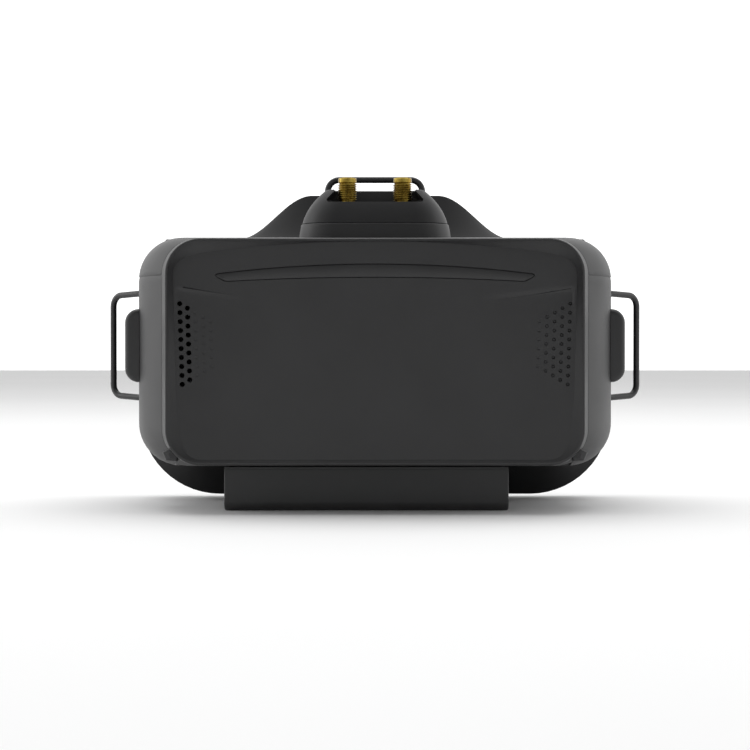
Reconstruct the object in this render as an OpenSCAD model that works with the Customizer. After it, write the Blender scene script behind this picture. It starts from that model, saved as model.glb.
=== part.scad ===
// Box-type FPV goggles: one large screen behind a single lens, a plug-in receiver with two
// antenna connectors on top, three wire strap loops and a slide-in battery pack underneath.
// X is the wearer's left-right, Y runs from the front cover to the face, Z is up. The origin is on
// the face that the goggles stand on, in the plane of symmetry. Sizes are in millimetres.

/* [Front cover] */
// Width of the front rim
front_w = 133.8; // [110:0.2:150]
// Height of the front rim
front_h = 72.4; // [60:0.2:76]
// Corner radius of the front rim
front_r = 11.4; // [6:0.2:16]
// Depth of the cover from its rim to the joint with the housing
cover_d = 8; // [7:0.5:11]
// How far the front panel lies behind the rim
panel_recess = 2.6; // [1.5:0.1:3.2]
// Width of the sloped border between rim and panel
border_w = 2.1; // [1.5:0.1:5]
// Thickness of the front panel
panel_t = 2.4; // [1.6:0.1:3]

/* [Housing] */
// Width of the housing where it is widest
body_w = 158.4; // [150:0.2:176]
// Height of the housing where it is tallest
body_h = 75.8; // [74:0.2:90]
// Corner radius of the housing where it is widest
body_r = 14; // [12:0.5:20]
// Depth from the front rim to the widest section
wide_d = 42; // [34:1:48]
// Depth from the front rim to the back edge of the housing
body_d = 58; // [54:0.5:70]
// How much each side narrows from the widest section to the back edge
tuck = 5.7; // [3:0.1:7]
// Wall thickness of the housing and the cover
wall = 2.2; // [1.6:0.1:3]
// Height of the housing's middle above the standing face
axis_z = 52; // [48:0.2:60]
// Height of the joint between upper and lower housing above the housing's middle
seam_up = 24.7; // [22:0.1:28]

/* [Face side] */
// Width of the face frame at its rim
frame_w = 165; // [158:0.5:180]
// Height of the forehead hump above the frame's top edge
hump_h = 15.2; // [10:0.2:18]
// Half width of the flat top of the hump
hump_flat = 22; // [14:0.5:26]
// Depth from the front rim to the widest section of the frame
frame_d = 74; // [70:0.5:84]
// How far the sides of the frame reach further back than its middle
wrap = 10; // [4:0.5:16]
// Thickness of the face foam
foam_t = 12; // [8:0.5:18]
// Width of the face foam
foam_w = 13; // [10:0.5:16]
// Width of the lens opening
lens_w = 126; // [110:1:128]
// Height of the lens opening
lens_h = 57; // [50:1:58]

/* [Receiver tower] */
// Width of the tower at its foot
tower_w = 50.8; // [46:0.2:60]
// Height of the tower's roof above the housing's middle
roof_up = 53.6; // [50:0.2:58]
// Height of the joint between tower and receiver above the housing's middle
bay_up = 42.2; // [41:0.2:45]
// Distance between the two antenna connectors
sma_pitch = 18.2; // [16:0.1:22]
// Height of an antenna connector above its ledge
sma_h = 8.1; // [7:0.1:11]

/* [Strap loops] */
// Diameter of the loop wire
wire_d = 2.16; // [1.8:0.02:2.6]
// Height of a side loop over the wire
side_loop_h = 37.6; // [32:0.2:44]
// Reach of a side loop from its pivot to the middle of its outer bar
side_loop_l = 16.5; // [14:0.5:20]
// Angle by which a side loop rests swung back
loop_rest = 40; // [25:1:50]
// Width of the top loop over the wire
top_loop_w = 34.8; // [30:0.2:38]
// Reach of the top loop from its pivot to the middle of its outer bar
top_loop_l = 12; // [10:0.5:14]

/* [Battery] */
// Length of the battery pack
pack_l = 93; // [84:1:98]
// Depth of the battery pack
pack_d = 38; // [34:1:38]
// Height of the battery pack
pack_h = 13.8; // [13.2:0.1:14]
// Sideways offset of the pack's middle from the plane of symmetry
pack_x = -2.8; // [-4:0.1:0]

/* [Controls and cooling] */
// Diameter of a jog wheel
jog_d = 12; // [10:0.5:13]
// Width of a jog wheel
jog_w = 7; // [5:0.5:8]
// Side length of the fan
fan_w = 25; // [20:1:28]

/* [Hidden] */

$fn = 48;
eps = 0.01;          // overlap that joins two solids of one piece
big = 400;           // larger than the whole object
gap = 0.3;           // running gap round a piece that moves
seat = 0.1;          // clearance between a fixed piece and its seat
corner_n = 8;        // steps in each rounded corner of a section
edge_n = 24;         // steps along the top and the bottom of a section
rest_d = 38;         // depth of the origin behind the front rim
body_steps = [0, 0.14, 0.3, 0.48, 0.68, 0.84, 1];  // sections along the housing, as shares of its depth

// Heights
strap_z = axis_z + 2;                 // middle of the side loops and their brackets
seam_z = axis_z + seam_up;
bay_z = axis_z + bay_up;
roof_z = axis_z + roof_up;
ledge_z = roof_z - 4.3;               // ledge that the antenna connectors stand on
floor_z = axis_z - body_h / 2;        // lowest line of the housing

// Depths behind the front rim, turned into Y
function y_of(d) = d - rest_d;

// ---- sections -------------------------------------------------------------------------------

function arc(cx, cy, r, start) =
  [for (i = [0:corner_n]) let (a = start + 90 * i / corner_n) [cx + r * cos(a), cy + r * sin(a)]];

// 1 in the middle, 0 outside, with a smooth fall in between
function bell(x, flat, run) =
  let (u = (abs(x) - flat) / run) u <= 0 ? 1 : u >= 1 ? 0 : (1 + cos(180 * u)) / 2;

// Outline of a rounded section. hump and notch are [height, half flat width, run] of a rise in the
// top edge and of a rise in the bottom edge.
function outline(hw, top, bottom, rt, rb, hump = [0, 1, 1], notch = [0, 1, 1]) = concat(
  arc(hw - rt, top - rt, rt, 0),
  [for (i = [1:edge_n - 1]) let (x = (hw - rt) * (1 - 2 * i / edge_n))
    [x, top + hump[0] * bell(x, hump[1], hump[2])]],
  arc(rt - hw, top - rt, rt, 90),
  arc(rb - hw, bottom + rb, rb, 180),
  [for (i = [1:edge_n - 1]) let (x = (rb - hw) * (1 - 2 * i / edge_n))
    [x, bottom + notch[0] * bell(x, notch[1], notch[2])]],
  arc(hw - rb, bottom + rb, rb, 270));

// A section as a ring of points at depth d, bent back towards its sides by bow
function ring_at(o, d, bow = 0) =
  [for (p = o) [p[0], y_of(d + bow * pow(2 * p[0] / frame_w, 2)), p[1]]];

// A plan outline as a ring of points at height z
function ring_up(o, z) = [for (i = [len(o) - 1:-1:0]) [o[i][0], o[i][1], z]];

// Skin over a row of rings. A closed row joins its last ring to its first, as a tube with walls
// does, and an open row is capped at both ends.
module loft(rings, closed = false) {
  n = len(rings[0]);
  m = len(rings);
  sides = [for (i = [0:m - (closed ? 1 : 2)], j = [0:n - 1])
    let (a = i * n + j, b = i * n + (j + 1) % n,
         c = ((i + 1) % m) * n + (j + 1) % n, d = ((i + 1) % m) * n + j)
    each [[a, b, c], [a, c, d]]];
  caps = closed ? [] : [[for (j = [n - 1:-1:0]) j], [for (j = [0:n - 1]) (m - 1) * n + j]];
  polyhedron([for (r = rings) each r], concat(sides, caps), convexity = 6);
}

// ---- housing sections -----------------------------------------------------------------------

// How far the section at depth d has shrunk from the widest one, where full is the shrink at the
// joint with the cover
function shrink(d, full) = full * pow((d - wide_d) / (wide_d - cover_d), 2);

cover_flare = 1.6;                                        // growth of the cover along its side wall
side_shrink = body_w / 2 - front_w / 2 - cover_flare;
height_shrink = max(0, body_h / 2 - front_h / 2 - 0.3);
corner_shrink = max(0, body_r - front_r - 0.5);

function body_hw(d) = body_w / 2
  - (d <= wide_d ? shrink(d, side_shrink) : tuck * pow((d - wide_d) / (body_d - wide_d), 2));
function body_hh(d) = body_h / 2 - shrink(d, height_shrink);
function body_cr(d) = body_r - shrink(d, corner_shrink);

// Outline of the housing at depth d, moved inwards by inset
function body_outline(d, inset = 0) =
  outline(body_hw(d) - inset, axis_z + body_hh(d) - inset, axis_z - body_hh(d) + inset,
    body_cr(d) - inset, body_cr(d) - inset);

body_depths = [for (s = body_steps) cover_d + s * (body_d - cover_d)];

module body_tube()
  loft(concat(
    [for (d = body_depths) ring_at(body_outline(d), d)],
    [for (i = [len(body_depths) - 1:-1:0]) ring_at(body_outline(body_depths[i], wall), body_depths[i])]),
    closed = true);

// The housing's outside as one solid, grown by grow, for seating pieces on it
module body_solid(grow = 0)
  loft([for (d = body_depths) ring_at(body_outline(d, -grow), d)]);

// A block given by its lowest and highest corner, with depths for Y
module block(lo, hi)
  translate([lo[0], y_of(lo[1]), lo[2]]) cube([hi[0] - lo[0], hi[1] - lo[1], hi[2] - lo[2]]);

// A cylinder along Y between two depths
module rod_y(x, z, r, d0, d1)
  translate([x, y_of(d0), z]) rotate([-90, 0, 0]) cylinder(r = r, h = d1 - d0);

// A cylinder along X between two places
module rod_x(x0, x1, d, z, r)
  translate([x0, y_of(d), z]) rotate([0, 90, 0]) cylinder(r = r, h = x1 - x0);

// Its children, and their mirror image across the plane of symmetry
module both_sides() {
  children();
  mirror([1, 0, 0]) children();
}

// ---- front cover ----------------------------------------------------------------------------

rim_land = 0.9;                       // rounded outer edge and flat of the rim
panel_inset = rim_land + border_w;    // from the rim's outer edge to the edge of the panel
lap_d = 3;                            // how far the cover's lap reaches into the housing
board_boss = [49, 24, 2.6];           // place (X, height from the middle) and radius of a board boss
board_d = 9.6;                        // depth of the main board's front face
board_t = 1.6;
board_w = 106;
board_h = 56;
pilot_r = 1.0;                        // pilot hole for a small screw
screw_r = 0.95;                       // small screw's shank

// Outline of the front cover, moved inwards by inset
function front_outline(inset) =
  outline(front_w / 2 - inset, axis_z + front_h / 2 - inset, axis_z - front_h / 2 + inset,
    max(1, front_r - inset), max(1, front_r - inset));

// Vent holes: five staggered columns that get shorter towards the middle
hole_r = 0.78;
hole_pitch = 2.86;
vent_x = front_w / 2 - 4.6;           // outermost column
vent_top = axis_z + 15.4;             // topmost hole of the outermost column
vent_columns = 5;
vent_rows = 10;                       // holes in the outermost column
column_step = hole_pitch * sin(60);
column_lean = 0.1;                    // each hole lies this much nearer the middle than the one above
dimple_d = 0.8;                       // depth of a blind hole

module vent_columns(first, last, depth)
  for (c = [first:last], k = [0:vent_rows - 1 - c])
    rod_y(vent_x - c * column_step - k * column_lean, vent_top - c * hole_pitch / 2 - k * hole_pitch,
      hole_r, panel_recess - 1, panel_recess + depth);

// Trim strip: a long lens-shaped inlay near the top of the panel
strip_hl = 50.8;                      // half length
strip_z = axis_z + 24.3;              // height of its tips
strip_top = [0.7, 3.7];               // its top edge above the tips, at the ends and at the middle
strip_low = [-1.9, -0.6];             // its lower edge, likewise
strip_d = 1.2;                        // thickness
strip_n = 16;

function strip_outline(inset) = concat(
  [for (i = [0:strip_n]) let (u = 1 - 2 * i / strip_n)
    [u * (strip_hl - 1.2 - inset), strip_z + strip_top[0] - inset + (strip_top[1] - strip_top[0]) * (1 - u * u)]],
  [[inset - strip_hl, strip_z]],
  [for (i = [0:strip_n]) let (u = 2 * i / strip_n - 1)
    [u * (strip_hl - 3.3 - inset), strip_z + strip_low[0] + inset + (strip_low[1] - strip_low[0]) * (1 - u * u)]],
  [[strip_hl - inset, strip_z]]);

module strip_body(inset, d0, d1)
  translate([0, y_of(d1), 0]) rotate([90, 0, 0])
    linear_extrude(d1 - d0) polygon(strip_outline(inset));

module board_bosses(r, d0, d1)
  for (sx = [-1, 1], sz = [-1, 1])
    rod_y(sx * board_boss[0], axis_z + sz * board_boss[1], r, d0, d1);

module front_cover() {
  back_d = panel_recess + panel_t;
  color("#3a3a3a") difference() {
    union() {
      loft([
        ring_at(front_outline(panel_inset), panel_recess),
        ring_at(front_outline(rim_land), 0),
        ring_at(front_outline(0.5), 0),
        ring_at(front_outline(0), 0.8),
        ring_at(body_outline(cover_d), cover_d),
        ring_at(body_outline(cover_d, wall + seat), cover_d),
        ring_at(body_outline(cover_d, wall + seat), cover_d + lap_d),
        ring_at(body_outline(cover_d, wall + 1.2), cover_d + lap_d),
        ring_at(front_outline(panel_inset), back_d)]);
      board_bosses(board_boss[2], back_d - eps, board_d);
    }
    board_bosses(pilot_r, back_d, board_d + 1);
    strip_body(0, panel_recess - 1, panel_recess + strip_d);
    mirror([1, 0, 0]) vent_columns(0, 1, panel_t + 1);
    mirror([1, 0, 0]) vent_columns(2, vent_columns - 1, dimple_d);
    vent_columns(0, vent_columns - 1, dimple_d);
  }
}

module trim_strip()
  color("#3c3c3c") strip_body(0.15, panel_recess + 0.05, panel_recess + strip_d);

// ---- receiver tower -------------------------------------------------------------------------

tower_foot = axis_z + body_h / 2 - 6;  // the tower starts inside the housing
tower_front = 21.5;                    // depth of the tower's front at its foot
tower_back = 57;                       // depth of the tower's back at its foot
tower_taper = 9;                       // how much each side comes in at the roof
tower_wall = 2.4;

// Share of the taper that is reached at height z
function taper(z) = pow((z - tower_foot) / (roof_z - tower_foot), 3);

// Plan outline of the tower at height z
function tower_outline(z, inset = 0) =
  let (k = taper(z))
  outline(tower_w / 2 - tower_taper * k - inset,
    y_of(tower_back - 2 * k - inset), y_of(tower_front + 0.6 * tower_taper * k + inset),
    6 - inset / 2, 11 - inset);

cap_steps = [0, 0.35, 0.6, 0.8, 0.92, 0.985, 1];
cap_z = bay_z + 0.2;                   // underside of the receiver's rim, a hair above the tower

// The bay that the receiver plugs into, as [half width, front depth, back depth]
bay = [tower_w / 2 - 5.4, tower_front + 6.5, tower_back - 6];
bay_board_z = axis_z + lens_h / 2 + 2;  // the bay's board clears the light tunnel
bay_floor = bay_board_z + 2.6;
bay_pillar = [bay[0] + 3.6, 41];       // X and depth of the pillars beside the bay

module bay_space(inset, z0, z1)
  block([inset - bay[0], bay[1] + inset, z0], [bay[0] - inset, bay[2] - inset, z1]);

module tower_foot_solid()
  loft([for (z = [tower_foot, tower_foot + 0.6 * (bay_z - tower_foot), bay_z])
    ring_up(tower_outline(z), z)]);

// ---- jog wheels -----------------------------------------------------------------------------

jog_x = 67.2;                          // middle of a jog wheel
jog_depth = 40;                        // depth of its axle behind the front rim
jog_top = axis_z + body_h / 2 - 0.2;   // height of its highest line
jog_z = jog_top - jog_d / 2;
jog_axle_r = 1.2;
jog_wall = 1.5;
jog_box = [jog_w / 2 + gap + jog_wall, jog_d / 2 + gap + jog_wall];  // half width and half depth

module jog_pocket(grow)
  block([jog_x - jog_box[0] - grow, jog_depth - jog_box[1] - grow, jog_z - jog_d / 2 - 2.4 - grow],
    [jog_x + jog_box[0] + grow, jog_depth + jog_box[1] + grow, jog_z + jog_d]);

module jog_housing() {
  color("#2a2a2a") difference() {
    intersection() {
      jog_pocket(0);
      union() {
        block([0, 0, 0], [big, body_d, jog_top - 1.3]);
        rod_x(0, big, jog_depth, jog_z - 3, jog_d / 2 + 2.2);
      }
    }
    block([jog_x - jog_w / 2 - gap, jog_depth - jog_d / 2 - gap, jog_z - jog_d / 2 - gap],
      [jog_x + jog_w / 2 + gap, jog_depth + jog_d / 2 + gap, jog_z + jog_d]);
    rod_x(jog_x - jog_box[0] + 0.5, jog_x + jog_box[0] - 0.5, jog_depth, jog_z, jog_axle_r + 0.05);
    body_slope_cut();
  }
}

// Takes the outer top edge of a jog housing back to the slope of the housing's corner
module body_slope_cut()
  translate([jog_x + jog_box[0] - 0.4, y_of(0), jog_top - 3.4]) rotate([0, -52, 0])
    cube([20, body_d, 8]);

module jog_wheel() {
  ridges = 24;
  color("#262626") difference() {
    union() {
      rod_x(jog_x - jog_w / 2, jog_x + jog_w / 2, jog_depth, jog_z, jog_d / 2);
      rod_x(jog_x - jog_box[0] + 0.6, jog_x + jog_box[0] - 0.6, jog_depth, jog_z, jog_axle_r);
    }
    for (i = [0:ridges - 1])
      translate([jog_x, y_of(jog_depth), jog_z]) rotate([360 * i / ridges, 0, 0])
        translate([-jog_w, -0.35, jog_d / 2 - 0.45]) cube([2 * jog_w, 0.7, 2]);
  }
}

// ---- housing halves -------------------------------------------------------------------------

post_at = [70, 51.5];                  // X and depth of a post that joins the housing halves
post_r = 3.2;
post_seat = floor_z + 14;              // height that the post's screw head rests at
frame_bosses = [[65, 30], [0, 35.2], [65, -30]];  // frame screws: X and height from the middle
boss_r = 3;
rail_d = [27, 49];                     // depths of the battery rails
rail_w = [5, 8];                       // width of a rail at its root and at its foot
rail_h = 3;

module frame_boss_rods(r, d0, d1)
  for (b = frame_bosses, sx = b[0] == 0 ? [1] : [-1, 1])
    rod_y(sx * b[0], axis_z + b[1], r, d0, d1);

module posts(r, z0, z1)
  both_sides() translate([post_at[0], y_of(post_at[1]), z0]) cylinder(r = r, h = z1 - z0);

// Bosses that carry the fan on the left wall
module fan_bosses(r, x0, x1)
  for (sy = [-1, 1], sz = [-1, 1])
    rod_x(x0, x1, fan_d + sy * fan_hole, axis_z + sz * fan_hole, r);

// Pillars that carry the bay's board below the housing's roof
module bay_pillars(r, z0, z1)
  both_sides() translate([bay_pillar[0], y_of(bay_pillar[1]), z0]) cylinder(r = r, h = z1 - z0);

module upper_housing() {
  color("#4a4a4a") difference() {
    union() {
      intersection() {
        body_tube();
        block([-big, 0, seam_z], [big, big, big]);
      }
      intersection() {
        tower_foot_solid();
        block([-big, 0, axis_z + body_h / 2 - wall - 0.3], [big, big, big]);
      }
      intersection() {
        union() {
          posts(post_r, seam_z, axis_z + body_h / 2 - 1);
          bay_pillars(2.4, bay_board_z + 1.6, axis_z + body_h / 2 - 1);
          frame_boss_rods(boss_r, body_d - 8, body_d - seat);
        }
        body_solid(-wall / 2);
        block([-big, 0, seam_z], [big, big, big]);
      }
    }
    bay_space(0, bay_floor, big);
    posts(pilot_r, seam_z - 1, seam_z + 7);
    both_sides() jog_pocket(seat);
    frame_boss_rods(pilot_r, body_d - 7, body_d + 1);
    bay_pillars(pilot_r, 0, bay_board_z + 8);
  }
}

module rail(grow)
  for (d = rail_d)
    translate([0, y_of(d), floor_z + 0.4]) rotate([90, 0, 90])
      translate([0, 0, -big / 2]) linear_extrude(big)
        polygon([[-rail_w[0] / 2 - grow, 2 * grow], [-rail_w[1] / 2 - grow, -rail_h - grow],
          [rail_w[1] / 2 + grow, -rail_h - grow], [rail_w[0] / 2 + grow, 2 * grow]]);

pack_end = [pack_x - pack_l / 2, pack_x + pack_l / 2];
rail_span = [pack_end[0] + 8, pack_end[1] - 2];

// Ports on the underside: X and depth of each
port_x = 62;
data_d = 17;
video_d = 26;
supply_d = 34.5;
card_at = [-62, 36];
button_at = [-62, 20];
video_r = 1.8;
supply_r = 3;
port_z = floor_z + 14;                 // underside of the boards that carry the ports

module lower_housing() {
  color("#474747") difference() {
    union() {
      intersection() {
        body_tube();
        block([-big, 0, -big], [big, big, seam_z - 0.05]);
      }
      intersection() {
        union() {
          posts(post_r, 0, seam_z - 0.05);
          frame_boss_rods(boss_r, body_d - 8, body_d - seat);
          fan_bosses(2.2, -big, fan_x - 0.02);
        }
        body_solid(-wall / 2);
        block([-big, 0, -big], [big, big, seam_z - 0.05]);
      }
      intersection() {
        rail(0);
        block([rail_span[0], 0, 0], [rail_span[1], big, floor_z + 1]);
      }
    }
    posts(1.3, 0, seam_z + 1);
    posts(2.4, -1, post_seat);
    frame_boss_rods(pilot_r, body_d - 7, body_d + 1);
    fan_bosses(pilot_r, fan_x - 4, fan_x + 1);
    translate([port_x, y_of(video_d), 0]) cylinder(r = video_r + 1, h = port_z);
    translate([port_x, y_of(supply_d), 0]) cylinder(r = supply_r + 1, h = port_z);
    port_shell(port_x, data_d, data_size, seat, 0, port_z);
    port_shell(card_at[0], card_at[1], card_size, seat, 0, port_z);
    translate([button_at[0], y_of(button_at[1]), 0]) cylinder(r = button_r + gap, h = port_z);
    contact_hole(0, floor_z - 1, floor_z + 4);
    bracket_screw_rods(1.3, 0);
  }
}

module housing_screws()
  color("#8c8f94") {
    posts(2.1, post_seat - 2, post_seat - 0.05);
    posts(screw_r, post_seat - 0.1, seam_z + 6);
  }

// ---- receiver module ------------------------------------------------------------------------

notch_hw = 15.8;                       // half width of the ledge that the connectors stand on
notch_back = 36;                       // depth of the ledge's back wall
notch_r = 5;
sma_depth = 29.6;
sma_r = 3.175;
module_floor = ledge_z - 1.8;
module_board_z = module_floor - 3.4;

module notch()
  translate([0, 0, ledge_z]) {
    block([-notch_hw, 0, 0], [notch_hw, notch_back - notch_r, 20]);
    block([notch_r - notch_hw, 0, 0], [notch_hw - notch_r, notch_back, 20]);
    both_sides() translate([notch_hw - notch_r, y_of(notch_back - notch_r), 0]) cylinder(r = notch_r, h = 20);
  }

module module_case() {
  color("#474747") difference() {
    union() {
      loft([for (s = cap_steps) let (z = cap_z + s * (roof_z - cap_z)) ring_up(tower_outline(z), z)]);
      bay_space(gap, bay_floor + 4, cap_z + eps);
    }
    bay_space(gap + 1.6, bay_floor + 3, module_board_z);
    module_room(0, module_board_z - 0.4, module_floor);
    notch();
    for (sx = [-1, 1])
      translate([sx * sma_pitch / 2, y_of(sma_depth), module_floor - 1]) cylinder(r = sma_r + seat, h = 4);
  }
}

// Room under the roof for the board and the feet of the connectors, narrower at the front
module module_room(inset, z0, z1) {
  block([inset - 13.2, 25.8 + inset, z0], [13.2 - inset, 36, z1]);
  block([inset - 17.5, 31 + inset, z0], [17.5 - inset, 50 - inset, z1]);
}

module module_board()
  color("#1d5b3a") module_room(0.4, module_board_z, module_board_z + 1.6);

module module_plug()
  color("#1c1c1c") block([-9, 39, bay_floor + 5.2], [9, 44, module_board_z]);

// An antenna connector: a square foot on the board, a threaded barrel, and the contact's bore
module antenna_connector(x) {
  foot_z = module_board_z + 1.6;
  color("#b8902c") translate([x, y_of(sma_depth), 0]) difference() {
    union() {
      translate([-3.6, -3.6, foot_z]) cube([7.2, 7.2, 1.6]);
      translate([0, 0, foot_z]) cylinder(r = sma_r - 0.2, h = ledge_z + 1 - foot_z);
      translate([0, 0, ledge_z + 0.05]) cylinder(r = sma_r, h = sma_h - 0.05);
    }
    translate([0, 0, ledge_z + sma_h - 4.5]) cylinder(r = 2.3, h = 10);
  }
}

module bay_board()
  color("#1d5b3a") difference() {
    block([-bay_pillar[0] - 3, bay_pillar[1] - 9, bay_board_z], [bay_pillar[0] + 3, bay_pillar[1] + 9, bay_board_z + 1.6]);
    bay_pillars(1.2, 0, big);
  }

module bay_socket()
  color("#e8e2d0") block([-9.6, 38.4, bay_board_z + 1.6], [9.6, 44.6, bay_floor + 4.9]);

module bay_screws()
  color("#8c8f94") {
    bay_pillars(1.9, bay_board_z - 1.5, bay_board_z - 0.05);
    bay_pillars(screw_r, bay_board_z - 0.1, bay_board_z + 7);
  }

// ---- face side ------------------------------------------------------------------------------

frame_top = axis_z + 39.4;             // top edge of the frame beside the hump
frame_bottom = axis_z - 50.1;
frame_r = 28;
frame_t = 2.4;
rim_d = frame_d + 4;                   // depth of the rim in the middle
nose_h = 23;                           // how far the nose cut-out reaches up
nose_flat = 9;
nose_run = 18;
lens_t = 2.5;
lens_lip = 3;                          // how far the lens reaches behind the frame's opening
lens_corner = 14;

// Outline of the face frame, moved inwards by inset
function frame_outline(inset) =
  outline(frame_w / 2 - inset, frame_top - inset, frame_bottom + inset, frame_r - inset * 0.8, frame_r - inset * 0.8,
    [hump_h, max(4, hump_flat - inset * 0.5), 26], [nose_h - inset * 0.2, nose_flat + inset * 0.5, nose_run + inset * 0.5]);

// Rounded plate between two depths
function plate_outline(w, h, r) = outline(w / 2, axis_z + h / 2, axis_z - h / 2, r, r);

module plate(w, h, r, d0, d1)
  translate([0, y_of(d1), 0]) rotate([90, 0, 0])
    linear_extrude(d1 - d0) polygon(plate_outline(w, h, r));

module face_frame() {
  flange_t = 2.4;
  color("#383838") difference() {
    union() {
      loft([
        ring_at(body_outline(body_d, 0.2), body_d + 0.05),
        ring_at(frame_outline(0), frame_d),
        ring_at(frame_outline(0), rim_d, wrap),
        ring_at(frame_outline(foam_w - 1), rim_d, wrap),
        ring_at(frame_outline(foam_w - 1), rim_d - frame_t, wrap),
        ring_at(frame_outline(frame_t + 0.2), frame_d - 0.8),
        ring_at(body_outline(body_d, wall + 1), body_d + 0.05)], closed = true);
      translate([0, y_of(body_d + 0.05 + flange_t), 0]) rotate([90, 0, 0])
        linear_extrude(flange_t) polygon(body_outline(body_d, wall + 0.6));
    }
    plate(lens_w, lens_h, lens_corner, body_d - 1, body_d + 6);
    frame_boss_rods(1.3, body_d - 1, body_d + 5);
  }
}

module frame_screws()
  color("#8c8f94") {
    frame_boss_rods(2.1, body_d + 2.45, body_d + 4);
    frame_boss_rods(screw_r, body_d - 6, body_d + 2.6);
  }

module face_foam()
  color("#202020")
    loft([
      ring_at(frame_outline(0.6), rim_d + 0.1, wrap),
      ring_at(frame_outline(0.2), rim_d + foam_t * 0.35, wrap),
      ring_at(frame_outline(0.8), rim_d + foam_t * 0.75, wrap),
      ring_at(frame_outline(3.4), rim_d + foam_t, wrap),
      ring_at(frame_outline(foam_w - 3.4), rim_d + foam_t, wrap),
      ring_at(frame_outline(foam_w - 0.8), rim_d + foam_t * 0.75, wrap),
      ring_at(frame_outline(foam_w), rim_d + 0.1, wrap)], closed = true);

module lens()
  color([0.75, 0.8, 0.85, 0.5])
    plate(lens_w + 2 * lens_lip, lens_h + 2 * lens_lip, lens_corner + lens_lip, body_d - lens_t, body_d);

// ---- screen and electronics -----------------------------------------------------------------

screen_w = 97;
screen_h = 57;
screen_d = 14.2;
screen_t = 2.6;
tunnel_front = screen_d + screen_t + 0.2;
tunnel_back = body_d - lens_t - 0.1;
tunnel_t = 1.4;

function tunnel_ring(w, h, r, inset, d) =
  ring_at(plate_outline(w - 2 * inset, h - 2 * inset, r), d);

module light_tunnel()
  color("#161616") loft([
    tunnel_ring(screen_w - 3, screen_h - 3, 3.4, 0, tunnel_front),
    tunnel_ring(lens_w + 1, lens_h + 1, lens_corner, 0, tunnel_back),
    tunnel_ring(lens_w + 1, lens_h + 1, lens_corner - tunnel_t, tunnel_t, tunnel_back),
    tunnel_ring(screen_w - 3, screen_h - 3, 2, tunnel_t, tunnel_front)], closed = true);

module display_panel()
  color("#101418") block([-screen_w / 2, screen_d, axis_z - screen_h / 2],
    [screen_w / 2, screen_d + screen_t, axis_z + screen_h / 2]);

module display_frame() {
  edge = 2.4;
  color("#2e2e2e") difference() {
    block([-screen_w / 2 - edge, board_d + board_t, axis_z - screen_h / 2 - edge],
      [screen_w / 2 + edge, screen_d + screen_t + 0.1, axis_z + screen_h / 2 + edge]);
    block([-screen_w / 2 - 0.15, screen_d - 0.1, axis_z - screen_h / 2 - 0.15],
      [screen_w / 2 + 0.15, big, axis_z + screen_h / 2 + 0.15]);
    block([-screen_w / 2 + 3, 0, axis_z - screen_h / 2 + 3], [screen_w / 2 - 3, big, axis_z + screen_h / 2 - 3]);
    board_bosses(3, 0, board_d + board_t + 2.2);
  }
}

module main_board()
  color("#1d5b3a") difference() {
    block([-board_w / 2, board_d, axis_z - board_h / 2], [board_w / 2, board_d + board_t, axis_z + board_h / 2]);
    board_bosses(1.2, 0, 20);
  }

module board_screws()
  color("#8c8f94") {
    board_bosses(1.9, board_d + board_t + 0.05, board_d + board_t + 1.5);
    board_bosses(screw_r, board_d - 3.4, board_d + board_t + 0.2);
  }

module shield_can()
  color("#a9abad") block([-34, board_d - 2.6, axis_z - 12], [-2, board_d, axis_z + 14]);

module processor()
  color("#202020") block([8, board_d - 1.4, axis_z - 8], [24, board_d, axis_z + 8]);

// ---- fan ------------------------------------------------------------------------------------

fan_t = 7;
fan_x = -68.2;                         // outer face of the fan
fan_d = 28;                            // depth of its axis
fan_bore_r = fan_w / 2 - 0.9;
fan_hub_r = 6;
fan_shaft_r = 1;
fan_hole = fan_w / 2 - 2.5;            // fixing holes, each way from its axis

module fan_frame()
  color("#232323") difference() {
    union() {
      difference() {
        block([fan_x, fan_d - fan_w / 2, axis_z - fan_w / 2], [fan_x + fan_t, fan_d + fan_w / 2, axis_z + fan_w / 2]);
        rod_x(fan_x - 1, fan_x + fan_t + 1, fan_d, axis_z, fan_bore_r);
      }
      rod_x(fan_x + fan_t - 1.6, fan_x + fan_t, fan_d, axis_z, fan_hub_r);
      for (a = [45:120:405])
        translate([fan_x + fan_t - 1.6, y_of(fan_d), axis_z]) rotate([a, 0, 0])
          translate([0, -0.8, 0]) cube([1.6, 1.6, fan_bore_r + 0.5]);
    }
    rod_x(fan_x, fan_x + fan_t + 1, fan_d, axis_z, fan_shaft_r + 0.05);
    fan_bosses(1.2, fan_x - 1, fan_x + fan_t + 1);
  }

module fan_screws()
  color("#8c8f94") {
    fan_bosses(1.9, fan_x + fan_t + 0.05, fan_x + fan_t + 1.4);
    fan_bosses(screw_r, fan_x - 3.5, fan_x + fan_t + 0.1);
  }

module fan_rotor() {
  blades = 7;
  color("#2b2b2b") {
    rod_x(fan_x + 0.8, fan_x + fan_t - 2, fan_d, axis_z, fan_hub_r);
    rod_x(fan_x + 1, fan_x + fan_t - 0.2, fan_d, axis_z, fan_shaft_r);
    intersection() {
      rod_x(fan_x + 0.8, fan_x + fan_t - 2, fan_d, axis_z, fan_bore_r - 0.5);
      for (i = [0:blades - 1])
        translate([fan_x + fan_t / 2 - 0.6, y_of(fan_d), axis_z]) rotate([360 * i / blades, 0, 0])
          rotate([0, 0, 38]) translate([-5, -0.4, fan_hub_r - 1]) cube([10, 0.8, fan_w / 2]);
    }
  }
}

// ---- strap loops ----------------------------------------------------------------------------

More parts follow.
